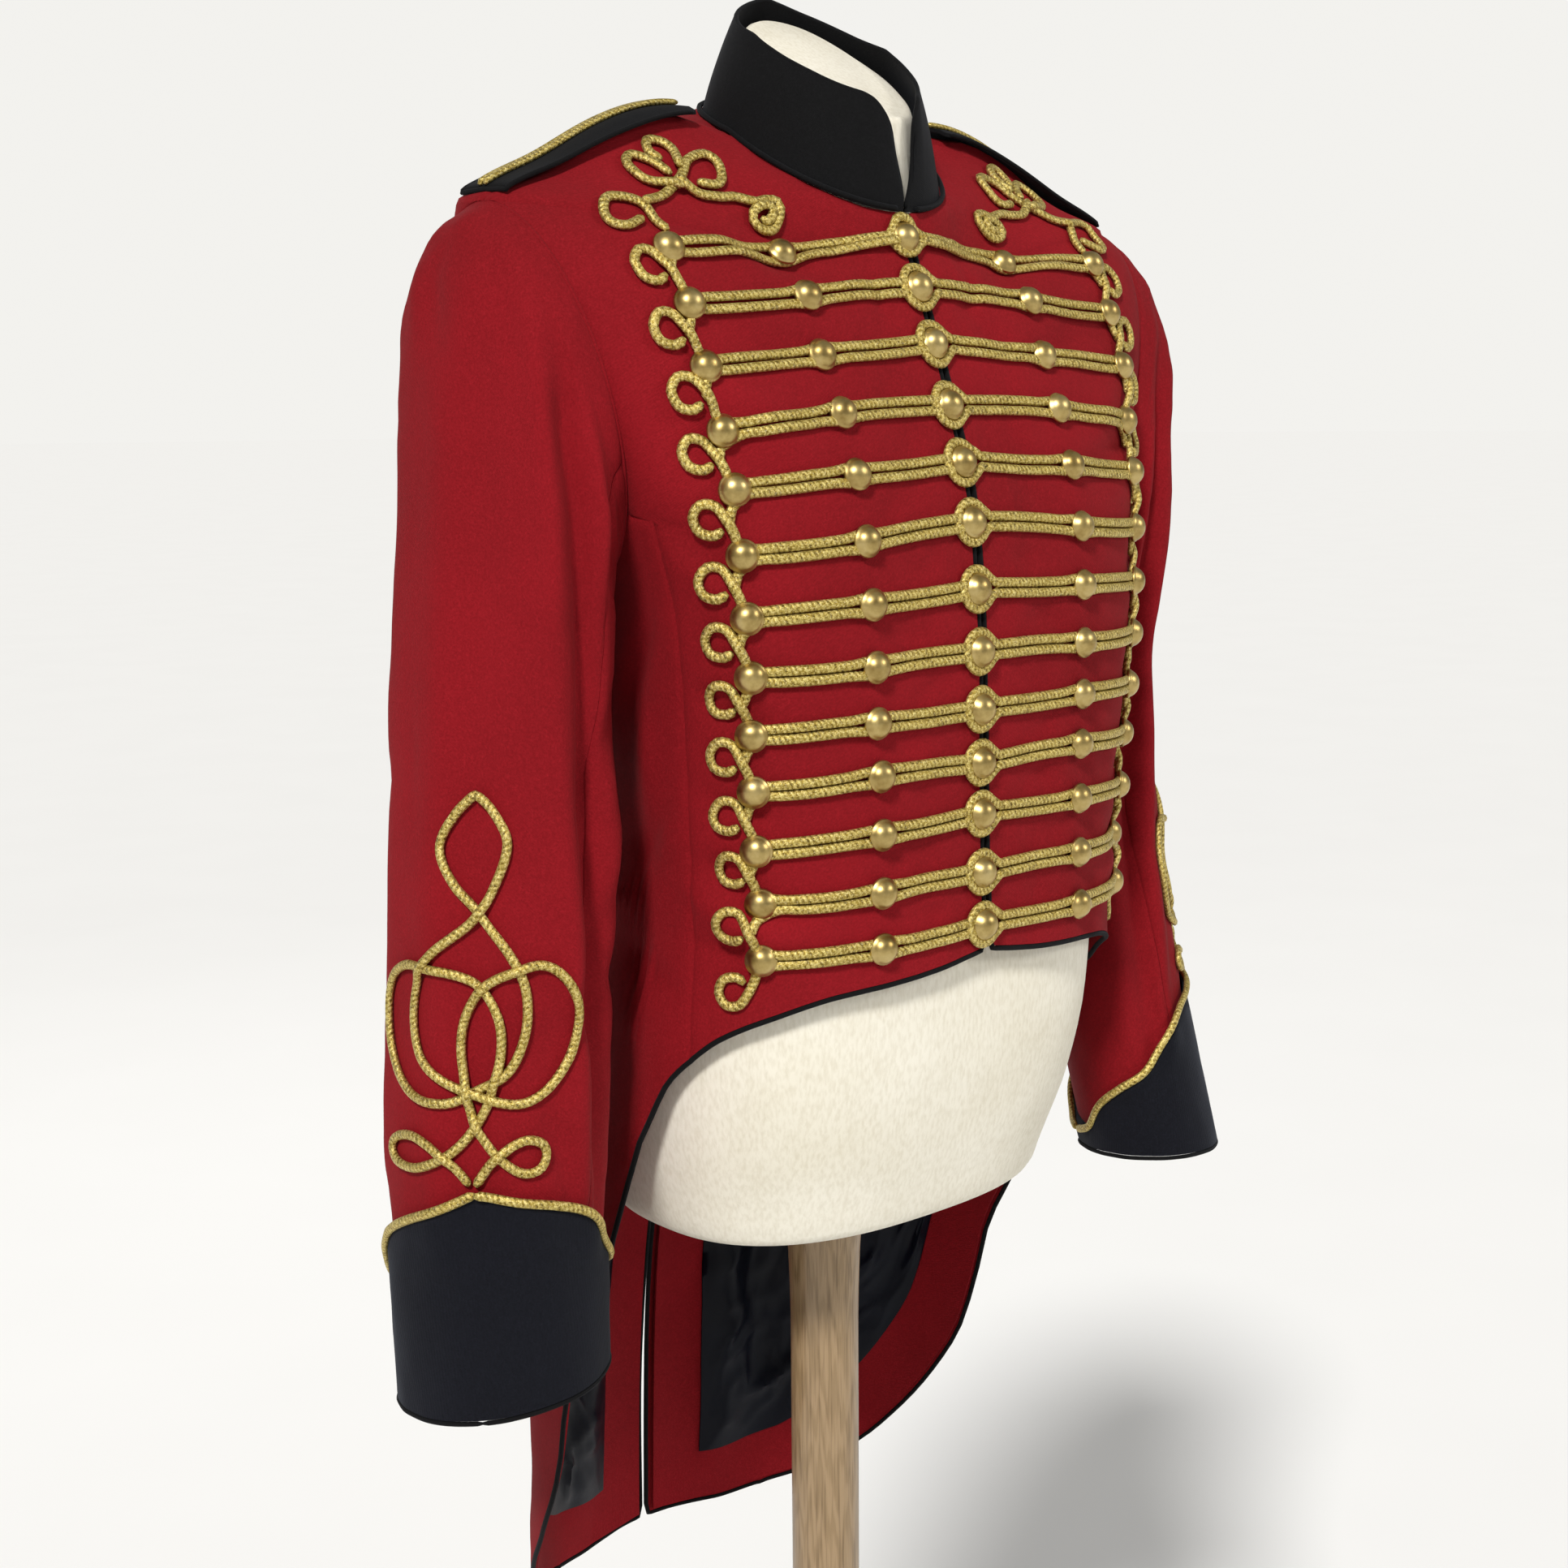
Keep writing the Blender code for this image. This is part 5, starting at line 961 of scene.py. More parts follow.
def build_straps(trees, finish, gold):
    """Stiff straps bridging the hollows of the shoulder, each with a double cord along its middle."""
    inner_x, outer_x = STRAP_X
    first, last = STRAP_SUPPORT
    shares = (-1.0, -0.97, -0.9, -0.7, -0.4, -0.1, 0.2, 0.5, 0.8, 0.94, 0.98, 1.0)
    runs = [0.0, 0.008, 0.02] + spread(0.05, 0.97, count_of(36)) + [0.992, 1.0]
    for label, sign in SIDES:
        foot = []
        for s in runs:
            x = inner_x + (outer_x - inner_x) * s
            middle = 10.0 - 5.0 * s
            wide = STRAP_HALF * (1.0 - 0.10 * math.exp(-s / 0.015))
            row = []
            for w in shares:
                y = middle + w * wide
                p = drop_down(trees[label], sign * max(min(x, last), first), y)[0]
                row.append(Vector((sign * x, y, p.z - max(0.0, x - last) * 0.9)))
            highest = max(p.z for p in row[3:9])
            for p, w in zip(row, shares):
                p.z += 0.6 * max(0.0, highest - p.z) + 1.6
            foot.append(row)
        for _ in range(12):
            old = [[p.z for p in row] for row in foot]
            for i in range(1, len(foot) - 1):
                for j, p in enumerate(foot[i]):
                    p.z = max(old[i][j] - 0.2, (old[i - 1][j] + 2 * old[i][j] + old[i + 1][j]) / 4)
        way = Vector((sign * STRAP_UP.x, STRAP_UP.y, STRAP_UP.z))
        outer = [[p + way * STRAP_CLOTH for p in row] for row in foot]
        made = shell("wool_strap_" + label, outer, foot, finish, edge_round=0.8)
        sheet_of(made, ["strap_" + label], outer)
        rope = Ropes(*STRAP_CORD)
        up = way.normalized()
        for side in (-STRAP_CORD_OFFSET, STRAP_CORD_OFFSET):
            ridge = [tuple(row[5].lerp(row[6], 0.35) + Vector((0.0, side, -0.2))) for row in outer]
            rope.lay([(Vector(p), up) for p in even(ridge, 2.2)], hop=False)
        piece_of(rope.build("gold_strap_cord_" + label, gold), ["strap_cord_" + label])
        rim = [row[0] for row in outer[2:]] + outer[-1][1:-1] + [row[-1] for row in outer[2:]][::-1]
        edge = Ropes(1.2, 1.2, 8)
        path = [Vector(p) for p in even([tuple(p) for p in rim], 2.2)]
        edge.skin([p - Vector((0.0, 0.0, 0.9)) for p in path], [up] * len(path))
        piece_of(edge.build("strap_edge_" + label, finish), [])


# ---------------------------------------------------------------- edge piping
def build_edge_piping(grids, black):
    for label, _ in SIDES:
        front, side, back = (grids[part, label] for part in ("front", "side", "back"))
        edge = []

        def add(grid_pair, places):
            outer, inner = grid_pair
            for (i, j), (m, n) in places:
                middle = (outer[i][j] + inner[i][j]) / 2
                inward = (outer[m][n] + inner[m][n]) / 2
                edge.append((middle, (middle - inward).normalized(),
                             (outer[i][j] - inner[i][j]).normalized()))

        rows, columns = len(front[0]), len(front[0][0])
        add(front, [((i, 0), (i, 2)) for i in range(0, rows - 1)])
        add(front, [((rows - 1, j), (rows - 3, j)) for j in range(1, columns - 1)])
        rows, columns = len(side[0]), len(side[0][0])
        add(side, [((rows - 1, j), (rows - 3, j)) for j in range(1, columns - 1)])
        rows, columns = len(back[0]), len(back[0][0])
        add(back, [((rows - 1, j), (rows - 3, j)) for j in range(1, columns - 1)])
        vent = [i for i in range(rows - 2, 0, -1) if back[0][i][columns - 1].z < VENT_TOP]
        add(back, [((i, columns - 1), (i, columns - 3)) for i in vent])
        rope = Ropes(PIPING_R, PIPING_R, 8)
        path = []
        for p, out, up in edge:
            q = p + out * (PIPING_R + 0.1)
            if not path or (q - path[-1][0]).length > 1.6:
                path.append((q, up))
        rope.skin([q for q, _ in path], [up for _, up in path])
        piece_of(rope.build("edge_piping_" + label + "_cord", black), ["edge_piping_" + label])


# ---------------------------------------------------------------- inside of the tails
def hem_track():
    track = []
    for angle in spread(FACING_START, FULL - 1.3, count_of(90)):
        da = 0.8
        high = min(angle + da, FULL)
        run = SKIRT_R * math.radians(high - angle + da)
        rise = hem_height(high) - hem_height(angle - da)
        length = math.hypot(run, rise)
        inner_angle = angle - math.degrees(rise / length * FACING_W / SKIRT_R)
        track.append(((angle, hem_height(angle)), (inner_angle, hem_height(angle)
                                                   + run / length * FACING_W)))
    return track


def inside(sign, angle, level, depth):
    """Point a depth under the outer face of the skirt; the panels' creases meet at the seam."""
    relief = cloth_relief(sign, angle, level)
    p = coat_point(angle, level)
    n = coat_normal(angle, level)
    p = p + n * (min(relief, 0.0) + max(relief, 0.0) * 0.3 - depth)
    return Vector((p.x * sign, p.y, p.z)), Vector((n.x * sign, n.y, n.z))


def build_tail_insides(red, satin):
    vent_angle = FULL - 1.9
    corner_angle = vent_angle - math.degrees(FACING_W / 178.0)
    track = [(outer, inner) for outer, inner in hem_track() if inner[0] < corner_angle - 1.0]
    corner = ((vent_angle, hem_height(vent_angle) + 2.5),
              (corner_angle, hem_height(corner_angle) + FACING_W))
    heights = spread(corner[1][1], VENT_TOP - 20, count_of(60))[1:]
    path = [((a, z + 2.5), b) for (a, z), b in track] + [corner]
    low = sorted((b for _, b in path), key=lambda place: place[0])
    path += [((vent_angle, z), (corner_angle, z)) for z in heights]
    xs, ys = [a for a, _ in low], [z for _, z in low]
    top = VENT_TOP - 20
    for label, sign in SIDES:
        outer, inner = [], []
        for (a, b), (c, d) in path:
            rows = ([], [])
            for s in spread(0.0, 1.0, 8):
                p, n = inside(sign, a + (c - a) * s, b + (d - b) * s, CLOTH + 0.9)
                rows[0].append(p)
                rows[1].append(p - n * CLOTH)
            outer.append(rows[0])
            inner.append(rows[1])
        made = shell("wool_tail_facing_" + label, outer, inner, red)
        sheet_of(made, ["tail_facing_" + label], outer)
        outer, inner = [], []
        first = xs[0] + 3.0
        columns = count_of(60)
        for k in range(count_of(90) + 1):
            share = k / count_of(90)
            rows = ([], [])
            for j in range(columns + 1):
                a = first + (corner_angle + 0.9 - first) * j / columns
                floor = linear(xs, ys, a) - 1.5
                level = top + (floor - top) * share
                edge = min(j, columns - j) / 6
                rumple = satin_relief(sign, a, level) * min(1.0, edge, (1 - share) * 12 + 0.05)
                p, n = inside(sign, a, level, 2 * CLOTH + 1.4 + rumple)
                rows[0].append(p)
                rows[1].append(p - n * LINING)
            outer.append(rows[0])
            inner.append(rows[1])
        made = shell("satin_tail_lining_" + label, outer, inner, satin)
        sheet_of(made, ["tail_lining_" + label], outer)


def satin_relief(sign, angle, level):
    """Crumpling of the loose lining, always inwards."""
    x, z = math.radians(angle) * 165.0, level
    place = Vector((x * 0.020 + z * 0.008, z * 0.011 - x * 0.004, 2.0 * sign))
    ridge = 1.0 - abs(noise.noise(place * 1.2)) * 2.2
    fine = 1.0 - abs(noise.noise(place * 3.1 + Vector((4.0, 1.0, 0.0)))) * 2.2
    return 1.2 + 4.6 * max(0.0, ridge) ** 2 + 2.2 * max(0.0, fine) ** 2


# ---------------------------------------------------------------- gold cord work
class Chest:
    """The fronts; places are (mm round the body from the centre front, height)."""

    def __init__(self, grids):
        self.trees = {sign: facets(grids["front", label][0]) for label, sign in SIDES}
        self.arcs = {}

    def arc(self, level):
        key = 2 * round(level / 2)
        if key not in self.arcs:
            angles = [0.5 * k for k in range(221)]
            points = [coat_point(angle, key) for angle in angles]
            self.arcs[key] = (angles, run_lengths(points), [p.x for p in points])
        return self.arcs[key]

    def place(self, s, z):
        level, angle = z, 0.0
        for _ in range(4):
            angles, runs, _ = self.arc(level)
            angle = linear(runs, angles, abs(s))
            level += z - coat_point(angle, level).z
        return angle, level

    def run_to(self, x, z):
        level, run = z, 0.0
        for _ in range(6):
            angles, runs, xs = self.arc(level)
            run = linear(xs[:160], runs[:160], abs(x))
            level += z - coat_point(linear(runs, angles, run), level).z
        return math.copysign(run, x)

    def on(self, s, z):
        """Point on the cloth and the normal of the smooth coat there."""
        side = -1.0 if s < 0 else 1.0
        angle, level = self.place(s, z)
        p, n = coat_point(angle, level), coat_normal(angle, level)
        p = Vector((p.x * side, p.y, p.z))
        n = Vector((n.x * side, n.y, n.z))
        hit = self.trees[side].ray_cast(p + n * 40.0, -n)[0]
        return (hit if hit is not None else p), n


def offset_path(path, distance):
    """A path moved sideways in its own plane; upwards for a path that runs outwards."""
    out = []
    for i, (x, z) in enumerate(path):
        before, after = path[max(i - 1, 0)], path[min(i + 1, len(path) - 1)]
        dx, dz = after[0] - before[0], after[1] - before[1]
        length = math.hypot(dx, dz)
        out.append((x - dz / length * distance, z + dx / length * distance))
    return out


def frog_paths(index, chest):
    """One side of one row as paths in (mm outwards, height): the pair of cords and the buttons."""
    z_centre, z_mid, z_outer, x_mid, x_outer = ROW_TABLE[index]
    s_mid, s_outer = chest.run_to(x_mid, z_mid), chest.run_to(x_outer, z_outer)
    sag = 0.8 if index % 2 else -0.5
    middle = [(PAIR_START, z_centre), ((PAIR_START + s_mid) / 2, (z_centre + z_mid) / 2 + sag),
              (s_mid, z_mid), ((s_mid + s_outer) / 2, (z_mid + z_outer) / 2 - sag * 0.7),
              (s_outer, z_outer)]
    middle = rounded(middle, 3.0)
    upper = offset_path(middle, PAIR_OFFSET)
    lower = offset_path(middle, -PAIR_OFFSET)
    swell, reach = PAIR_BULGE
    for path, way in ((upper, 1.0), (lower, -1.0)):
        for k, (s, z) in enumerate(path):
            bulge = swell * math.exp(-((s - s_mid) / reach) ** 2)
            path[k] = (s, z + way * bulge)
    return upper, lower, (s_mid, z_mid), (s_outer, z_outer)


def chain_end(index, chest, s_outer, z_outer):
    """The lower cord's way from the outer button down to the next row's eyelet stem."""
    _, _, z_next, _, x_next = ROW_TABLE[index + 1]
    s_next = chest.run_to(x_next, z_next)
    return [(s_outer + 1.5, z_outer - 7.5), (s_outer + 3.2, z_outer - 11.5),
            (s_next + 5.6, z_next + 13.6)]


def build_frogging(chest, gold):
    """Every row's cords, a mesh a side; returns the button places."""
    buttons = []
    for label, sign in SIDES:
        ropes = Ropes()
        for index in range(ROWS):
            upper, lower, mid, outer = frog_paths(index, chest)
            s_outer, z_outer = outer
            eyelet = [(s_outer + ds, z_outer + dz) for ds, dz in EYELET]
            if index == 0:
                eyelet = [(s_outer + 1.0, z_outer + 5.0)]
            if index == ROWS - 1:
                tail = [(s_outer + ds, z_outer - dz) for ds, dz in EYELET]
            else:
                tail = chain_end(index, chest, s_outer, z_outer)
            z_centre = ROW_TABLE[index][0]
            if sign > 0:
                loop = [(CENTRE_X + LOOP_R * math.cos(a), z_centre + LOOP_R * math.sin(a))
                        for a in spread(math.radians(42), math.radians(318), 16)]
                way = (rounded(eyelet[::-1] + upper[::-4], 2.5)
                       + rounded([upper[1], upper[0]] + loop + [lower[0], lower[1]], 2.0)
                       + rounded(lower[::4] + tail, 2.5))
                ropes.lay([chest.on(s, z) for s, z in clean(way)])
            else:
                for path, end in ((upper, eyelet), (lower, tail)):
                    line = rounded([(CORD_END, path[0][1])] + path[::4] + end, 2.5)
                    ropes.lay([chest.on(-s, z) for s, z in clean(line)])
            buttons += [(sign * mid[0], mid[1]), (sign * s_outer, z_outer)]
            if sign < 0:
                buttons.append((CENTRE_X, z_centre))
        made = ropes.build("gold_frogging_" + label, gold)
        piece_of(made, ["frog_%s_%02d" % (label, k + 1) for k in range(ROWS)])
    return buttons


def clean(path):
    """Drop points that fall back onto the ones before them."""
    out = [path[0]]
    for p in path[1:]:
        if math.dist(p, out[-1]) > 1.0:
            out.append(p)
    return out


def build_ornaments(trees, gold):
    for label, sign in SIDES:
        ropes = Ropes(*ORNAMENT_CORD)
        middle_x, middle_y, wide, high, last, start, turn, steps = SPIRAL
        spiral = []
        for k in range(steps + 1):
            size = 1.0 - (1.0 - last) * k / steps
            a = math.radians(start - turn * k / steps)
            spiral.append((middle_x - wide * size * math.cos(a), middle_y + high * size * math.sin(a)))
        for shape in (FIRST_EYELET,) + ORNAMENT[:-1] + (ORNAMENT[-1] + tuple(spiral),):
            path = []
            for x, y in rounded(shape, 2.2):
                p, n = drop_down(trees[label][:1], sign * x, y)
                path.append((p, upward(n)))
            ropes.lay(smooth_normals(path))
        piece_of(ropes.build("gold_ornament_" + label, gold), ["ornament_" + label])


def smooth_normals(path):
    normals = [n for _, n in path]
    for _ in range(4):
        normals = [(normals[max(i - 1, 0)] + normals[i] + normals[min(i + 1, len(normals) - 1)])
                   .normalized() for i in range(len(normals))]
    return [(p, n) for (p, _), n in zip(path, normals)]


def sleeve_face(tree, label, sign, w, z):
    """Point and normal on a sleeve at (mm towards the front from the knot's line, height)."""
    angle = KNOT_ANGLE + math.degrees(w / SLEEVE_R)
    section = section_of(label, angle, z)
    p = sleeve_point(label, angle, section, relief=False)
    _, _, x_out, _, x_in, y_mid, _, _ = sleeve_table[label](section)
    out = Vector(((p.x - (x_out + x_in) / 2) * sign, p.y - y_mid, 0.0)).normalized()
    start = Vector((p.x * sign, p.y, z)) + out * 40.0
    hit, n, _, _ = tree.ray_cast(start, -out)
    if hit is None:
        return Vector((p.x * sign, p.y, z)), out
    return hit, (n if n.dot(out) > 0 else -n)


def build_knots(trees, gold):
    for label, sign in SIDES:
        ropes = Ropes(*KNOT_CORD)
        point = cuff_top(label, KNOT_ANGLE) + 1.5
        for half in KNOT_HALVES:
            path = []
            for w, z in rounded(half, 2.4):
                drop = KNOT_DROP[label] * min(1.0, z / 30)
                path.append(sleeve_face(trees[label], label, sign, w, point + z - drop))
            ropes.lay(smooth_normals(path))
        for way in (-1.0, 1.0):
            path = []
            for k in range(count_of(76)):
                angle = KNOT_ANGLE + way * 180.0 * k / count_of(76)
                height = cuff_top(label, angle) + 0.8
                p = cuff_place(label, angle, height, CUFF_PROUD + 0.6)
                q = cuff_place(label, angle, height, CUFF_PROUD + 9.0)
                path.append((Vector((p.x * sign, p.y, p.z)),
                             Vector(((q.x - p.x) * sign, q.y - p.y, 0.0)).normalized()))
            ropes.lay(path)
        piece_of(ropes.build("gold_knot_" + label, gold), ["sleeve_knot_" + label])


def build_buttons(chest, places, brass):
    """Domed buttons, one mesh instanced on points that carry the cloth's normal."""
    sides = BUTTON_SIDES
    rings = [[(r * math.cos(2 * math.pi * k / sides), r * math.sin(2 * math.pi * k / sides), h)
              for k in range(sides)] for r, h in BUTTON_PROFILE[1:-1]]
    points = [p for ring in rings for p in ring]
    points += [(0.0, 0.0, BUTTON_PROFILE[0][1]), (0.0, 0.0, BUTTON_PROFILE[-1][1])]
    faces = []
    for i in range(len(rings) - 1):
        for k in range(sides):
            m = (k + 1) % sides
            faces.append((i * sides + k, i * sides + m, (i + 1) * sides + m, (i + 1) * sides + k))
    low, high = len(points) - 2, len(points) - 1
    end = (len(rings) - 1) * sides
    faces += [(low, (k + 1) % sides, k) for k in range(sides)]
    faces += [(high, end + k, end + (k + 1) % sides) for k in range(sides)]
    button = mesh_object("button_shape", points, faces, brass, sharp=60.0)
    spots = bpy.data.meshes.new("button_spots")
    laid = [chest.on(s, z) for s, z in places]
    spots.from_pydata([p * 0.001 for p, _ in laid], [], [])
    normals = spots.attributes.new("up", "FLOAT_VECTOR", "POINT")
    for item, (_, n) in zip(normals.data, laid):
        item.vector = n
    carrier = bpy.data.objects.new("buttons_carrier", spots)
    bpy.context.scene.collection.objects.link(carrier)
    made = baked_repeats(carrier, button, brass, "brass_buttons", BUTTON_SCALE)
    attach(made, "root")
    return made


def baked_repeats(carrier, shape, finish, name, scale):
    """Geometry nodes put the shape on every point, turned to its `up` and scaled; kept as a mesh."""
    group = bpy.data.node_groups.new(name, "GeometryNodeTree")
    group.interface.new_socket("Geometry", in_out="INPUT", socket_type="NodeSocketGeometry")
    size = group.interface.new_socket("Size of the shape", in_out="INPUT",
                                      socket_type="NodeSocketFloat")
    group.interface.new_socket("Geometry", in_out="OUTPUT", socket_type="NodeSocketGeometry")
    nodes, links = group.nodes, group.links
    source = nodes.new("NodeGroupInput")
    result = nodes.new("NodeGroupOutput")
    info = nodes.new("GeometryNodeObjectInfo")
    info.inputs["Object"].default_value = shape
    up = nodes.new("GeometryNodeInputNamedAttribute")
    up.data_type = "FLOAT_VECTOR"
    up.inputs["Name"].default_value = "up"
    align = nodes.new("FunctionNodeAlignRotationToVector")
    align.axis = "Z"
    place = nodes.new("GeometryNodeInstanceOnPoints")
    real = nodes.new("GeometryNodeRealizeInstances")
    paint = nodes.new("GeometryNodeSetMaterial")
    paint.inputs["Material"].default_value = finish
    links.new(source.outputs[0], place.inputs["Points"])
    links.new(source.outputs["Size of the shape"], place.inputs["Scale"])
    links.new(info.outputs["Geometry"], place.inputs["Instance"])
    links.new(up.outputs["Attribute"], align.inputs["Vector"])
    links.new(align.outputs["Rotation"], place.inputs["Rotation"])
    links.new(place.outputs[0], real.inputs[0])
    links.new(real.outputs[0], paint.inputs[0])
    links.new(paint.outputs[0], result.inputs[0])
    modifier = carrier.modifiers.new("repeats", "NODES")
    modifier.node_group = group
    modifier[size.identifier] = scale
    bpy.context.view_layer.update()
    graph = bpy.context.evaluated_depsgraph_get()
    mesh = bpy.data.meshes.new_from_object(carrier.evaluated_get(graph))
    mesh.name = name
    made = bpy.data.objects.new(name, mesh)
    bpy.context.scene.collection.objects.link(made)
    for spare in (carrier, shape):
        bpy.data.objects.remove(spare, do_unlink=True)
    return made


# ---------------------------------------------------------------- dress form and stand
def build_form(cloth):
    columns = 96
    levels = [level for level, _ in FORM_RINGS][::-1]
    insets = [inset for _, inset in FORM_RINGS][::-1]
    rings = [[], [], [], [], []]
    fine = spread(1443, 1404, 8) + spread(1404, 876, 44)[1:]
    body = [[] for _ in fine]
    for j in range(columns):
        angle = 360.0 * (j + 0.5) / columns
        half = min(angle, 360.0 - angle)
        side = math.copysign(1.0, FULL - angle)
        base = coat_point(half, NECK_LEVEL, NECK_INSET)
        back = (1 - math.cos(math.radians(half))) / 2
        height = NECK_TOP[0] + (NECK_TOP[1] - NECK_TOP[0]) * back
        _, collar_height, lean = collar_table(half)
        for ring, drop, more in zip(rings, (0.0, 0.4, 2.0, 5.0), (4.0, 1.6, 0.4, 0.0)):
            share = (height - drop - base.z) / collar_height
            p = coat_point(half, NECK_LEVEL, COLLAR_CLOTH + NECK_TOP_GAP + lean * share + more)
            ring.append(Vector((p.x * side, p.y, height - drop)))
        rings[4].append(Vector((base.x * side, base.y, base.z - 5.5)))
        for ring, level in zip(body, fine):
            inset = curve_value(levels, insets, level)
            p = coat_point(half, level) - coat_normal(half, level) * inset
            ring.append(Vector((p.x * side, p.y, p.z)))
    low = body[-1]
    rim = [[Vector((p.x * s, p.y * s, TORSO_LOW + h)) for p in low]
           for s, h in ((0.975, 6.0), (0.95, 1.5), (0.92, 0.0))]
    points, faces, uvs = tube_mesh(rings + body + rim)
    made = mesh_object("form_torso_skin", points, faces, cloth, uvs, sharp=60.0)
    piece_of(made, ["form_torso"])


def tube_mesh(rings):
    """Closed mesh through rings of points, flat at both ends; UVs in 100 mm."""
    sides = len(rings[0])
    points = [p for ring in rings for p in ring]
    faces, uvs = [], []
    run = 0.0
    for i in range(len(rings) - 1):
        step = (rings[i + 1][0] - rings[i][0]).length
        for j in range(sides):
            k = (j + 1) % sides
            faces.append((i * sides + j, i * sides + k, (i + 1) * sides + k, (i + 1) * sides + j))
            for s, v in ((j, run), (j + 1, run), (j + 1, run + step), (j, run + step)):
                uvs.append((s / sides * 8.0, v / 100))
        run += step
    end = (len(rings) - 1) * sides
    faces.append(tuple(range(sides - 1, -1, -1)))
    faces.append(tuple(range(end, end + sides)))
    uvs += [(0.0, 0.0)] * (2 * sides)
    return points, faces, uvs


def turned(profile, sides=96):
    """Rings round the Z axis through (radius, height)."""
    return [[Vector((r * math.cos(2 * math.pi * k / sides), r * math.sin(2 * math.pi * k / sides), z))
             for k in range(sides)] for r, z in profile]


def build_stand(wood):
    shapes = {
        "form_post": ((POST_R - 1, BASE_H + 0.5), (POST_R, BASE_H + 3), (POST_R, TORSO_LOW - 90),
                      (POST_R + 0.3, TORSO_LOW - 70), (POST_R + 1.2, TORSO_LOW - 45),
                      (POST_R + 2.8, TORSO_LOW - 22), (POST_R + 5.3, TORSO_LOW - 0.5)),
        "form_base": ((BASE_R - 3, 0.0), (BASE_R - 0.8, 1.2), (BASE_R, 4.0), (BASE_R, BASE_H - 7),
                      (BASE_R - 1.4, BASE_H - 3.6), (BASE_R - 4.4, BASE_H - 1), (BASE_R - 9, BASE_H),
                      (60, BASE_H)),
    }
    for name, profile in shapes.items():
        points, faces, uvs = tube_mesh(turned(profile))
        made = mesh_object("ash_" + name, points, faces, wood, uvs, sharp=40.0)
        piece_of(made, [name])


# ---------------------------------------------------------------- materials
class Nodes:
    """A material under construction: short calls that add and link nodes."""

    def __init__(self, name, roughness, metallic=0.0):
        self.material = bpy.data.materials.new(name)
        self.material.use_nodes = True
        self.tree = self.material.node_tree
        self.shader = self.tree.nodes["Principled BSDF"]
        self.shader.inputs["Roughness"].default_value = roughness
        self.shader.inputs["Metallic"].default_value = metallic
        self.place = self.tree.nodes.new("ShaderNodeTexCoord")

    def add(self, kind, **settings):
        node = self.tree.nodes.new(kind)
        for key, value in settings.items():
            setattr(node, key, value)
        return node

    def link(self, output, node, socket):
        self.tree.links.new(output, node.inputs[socket])

    def noise(self, scale, detail=3.0, rough=0.5, source="Object", stretch=(1, 1, 1)):
        mapping = self.add("ShaderNodeMapping")
        mapping.inputs["Scale"].default_value = stretch
        self.link(self.place.outputs[source], mapping, "Vector")
        node = self.add("ShaderNodeTexNoise")
        node.inputs["Scale"].default_value = scale
        node.inputs["Detail"].default_value = detail
        node.inputs["Roughness"].default_value = rough
        self.link(mapping.outputs["Vector"], node, "Vector")
        return node.outputs["Fac"]

    def ramp(self, factor, *stops):
        node = self.add("ShaderNodeValToRGB")
        points = node.color_ramp.elements
        while len(points) < len(stops):
            points.new(0.5)
        for point, (position, colour) in zip(points, stops):
            point.position = position
            point.color = (*colour, 1.0)
        self.link(factor, node, "Fac")
        return node.outputs["Color"]

    def mix(self, factor, a, b, blend="MIX"):
        node = self.add("ShaderNodeMix", data_type="RGBA", blend_type=blend)
        if isinstance(factor, float):
            node.inputs["Factor"].default_value = factor
        else:
            self.link(factor, node, "Factor")
        self.tree.links.new(a, node.inputs[6])
        self.tree.links.new(b, node.inputs[7])
        return node.outputs[2]

    def math(self, operation, a, b=None):
        node = self.add("ShaderNodeMath", operation=operation)
        for k, value in enumerate((a, b)):
            if isinstance(value, (int, float)):
                node.inputs[k].default_value = value
            elif value is not None:
                self.tree.links.new(value, node.inputs[k])
        return node.outputs[0]

    def colour(self, output):
        self.link(output, self.shader, "Base Color")

    def roughness(self, output, low, high):
        node = self.add("ShaderNodeMapRange")
        node.inputs["To Min"].default_value = low
        node.inputs["To Max"].default_value = high
        self.link(output, node, "Value")
        self.link(node.outputs[0], self.shader, "Roughness")

    def bump(self, *layers):
        """Each layer is (height, strength, distance in metres)."""
        last = None
        for height, strength, distance in layers:
            node = self.add("ShaderNodeBump")
            node.inputs["Strength"].default_value = strength
            node.inputs["Distance"].default_value = distance
            self.link(height, node, "Height")
            if last is not None:
                self.link(last, node, "Normal")
            last = node.outputs["Normal"]
        self.link(last, self.shader, "Normal")

    def sheen(self, weight, roughness, tint):
        self.shader.inputs["Sheen Weight"].default_value = weight
        self.shader.inputs["Sheen Roughness"].default_value = roughness
        self.shader.inputs["Sheen Tint"].default_value = (*tint, 1.0)

    def specular(self, level):
        self.shader.inputs["Specular IOR Level"].default_value = level

    def weave(self, count, angle):
        """Fine diagonal ribs of a twill, from UVs in units of 100 mm."""
        mapping = self.add("ShaderNodeMapping")
        mapping.inputs["Rotation"].default_value = (0.0, 0.0, math.radians(angle))
        self.link(self.place.outputs["UV"], mapping, "Vector")
        node = self.add("ShaderNodeTexWave")
        node.inputs["Scale"].default_value = count
        node.inputs["Distortion"].default_value = 1.2
        node.inputs["Detail"].default_value = 2.0
        node.inputs["Detail Scale"].default_value = 3.0
        self.link(mapping.outputs["Vector"], node, "Vector")
        return node.outputs["Fac"]


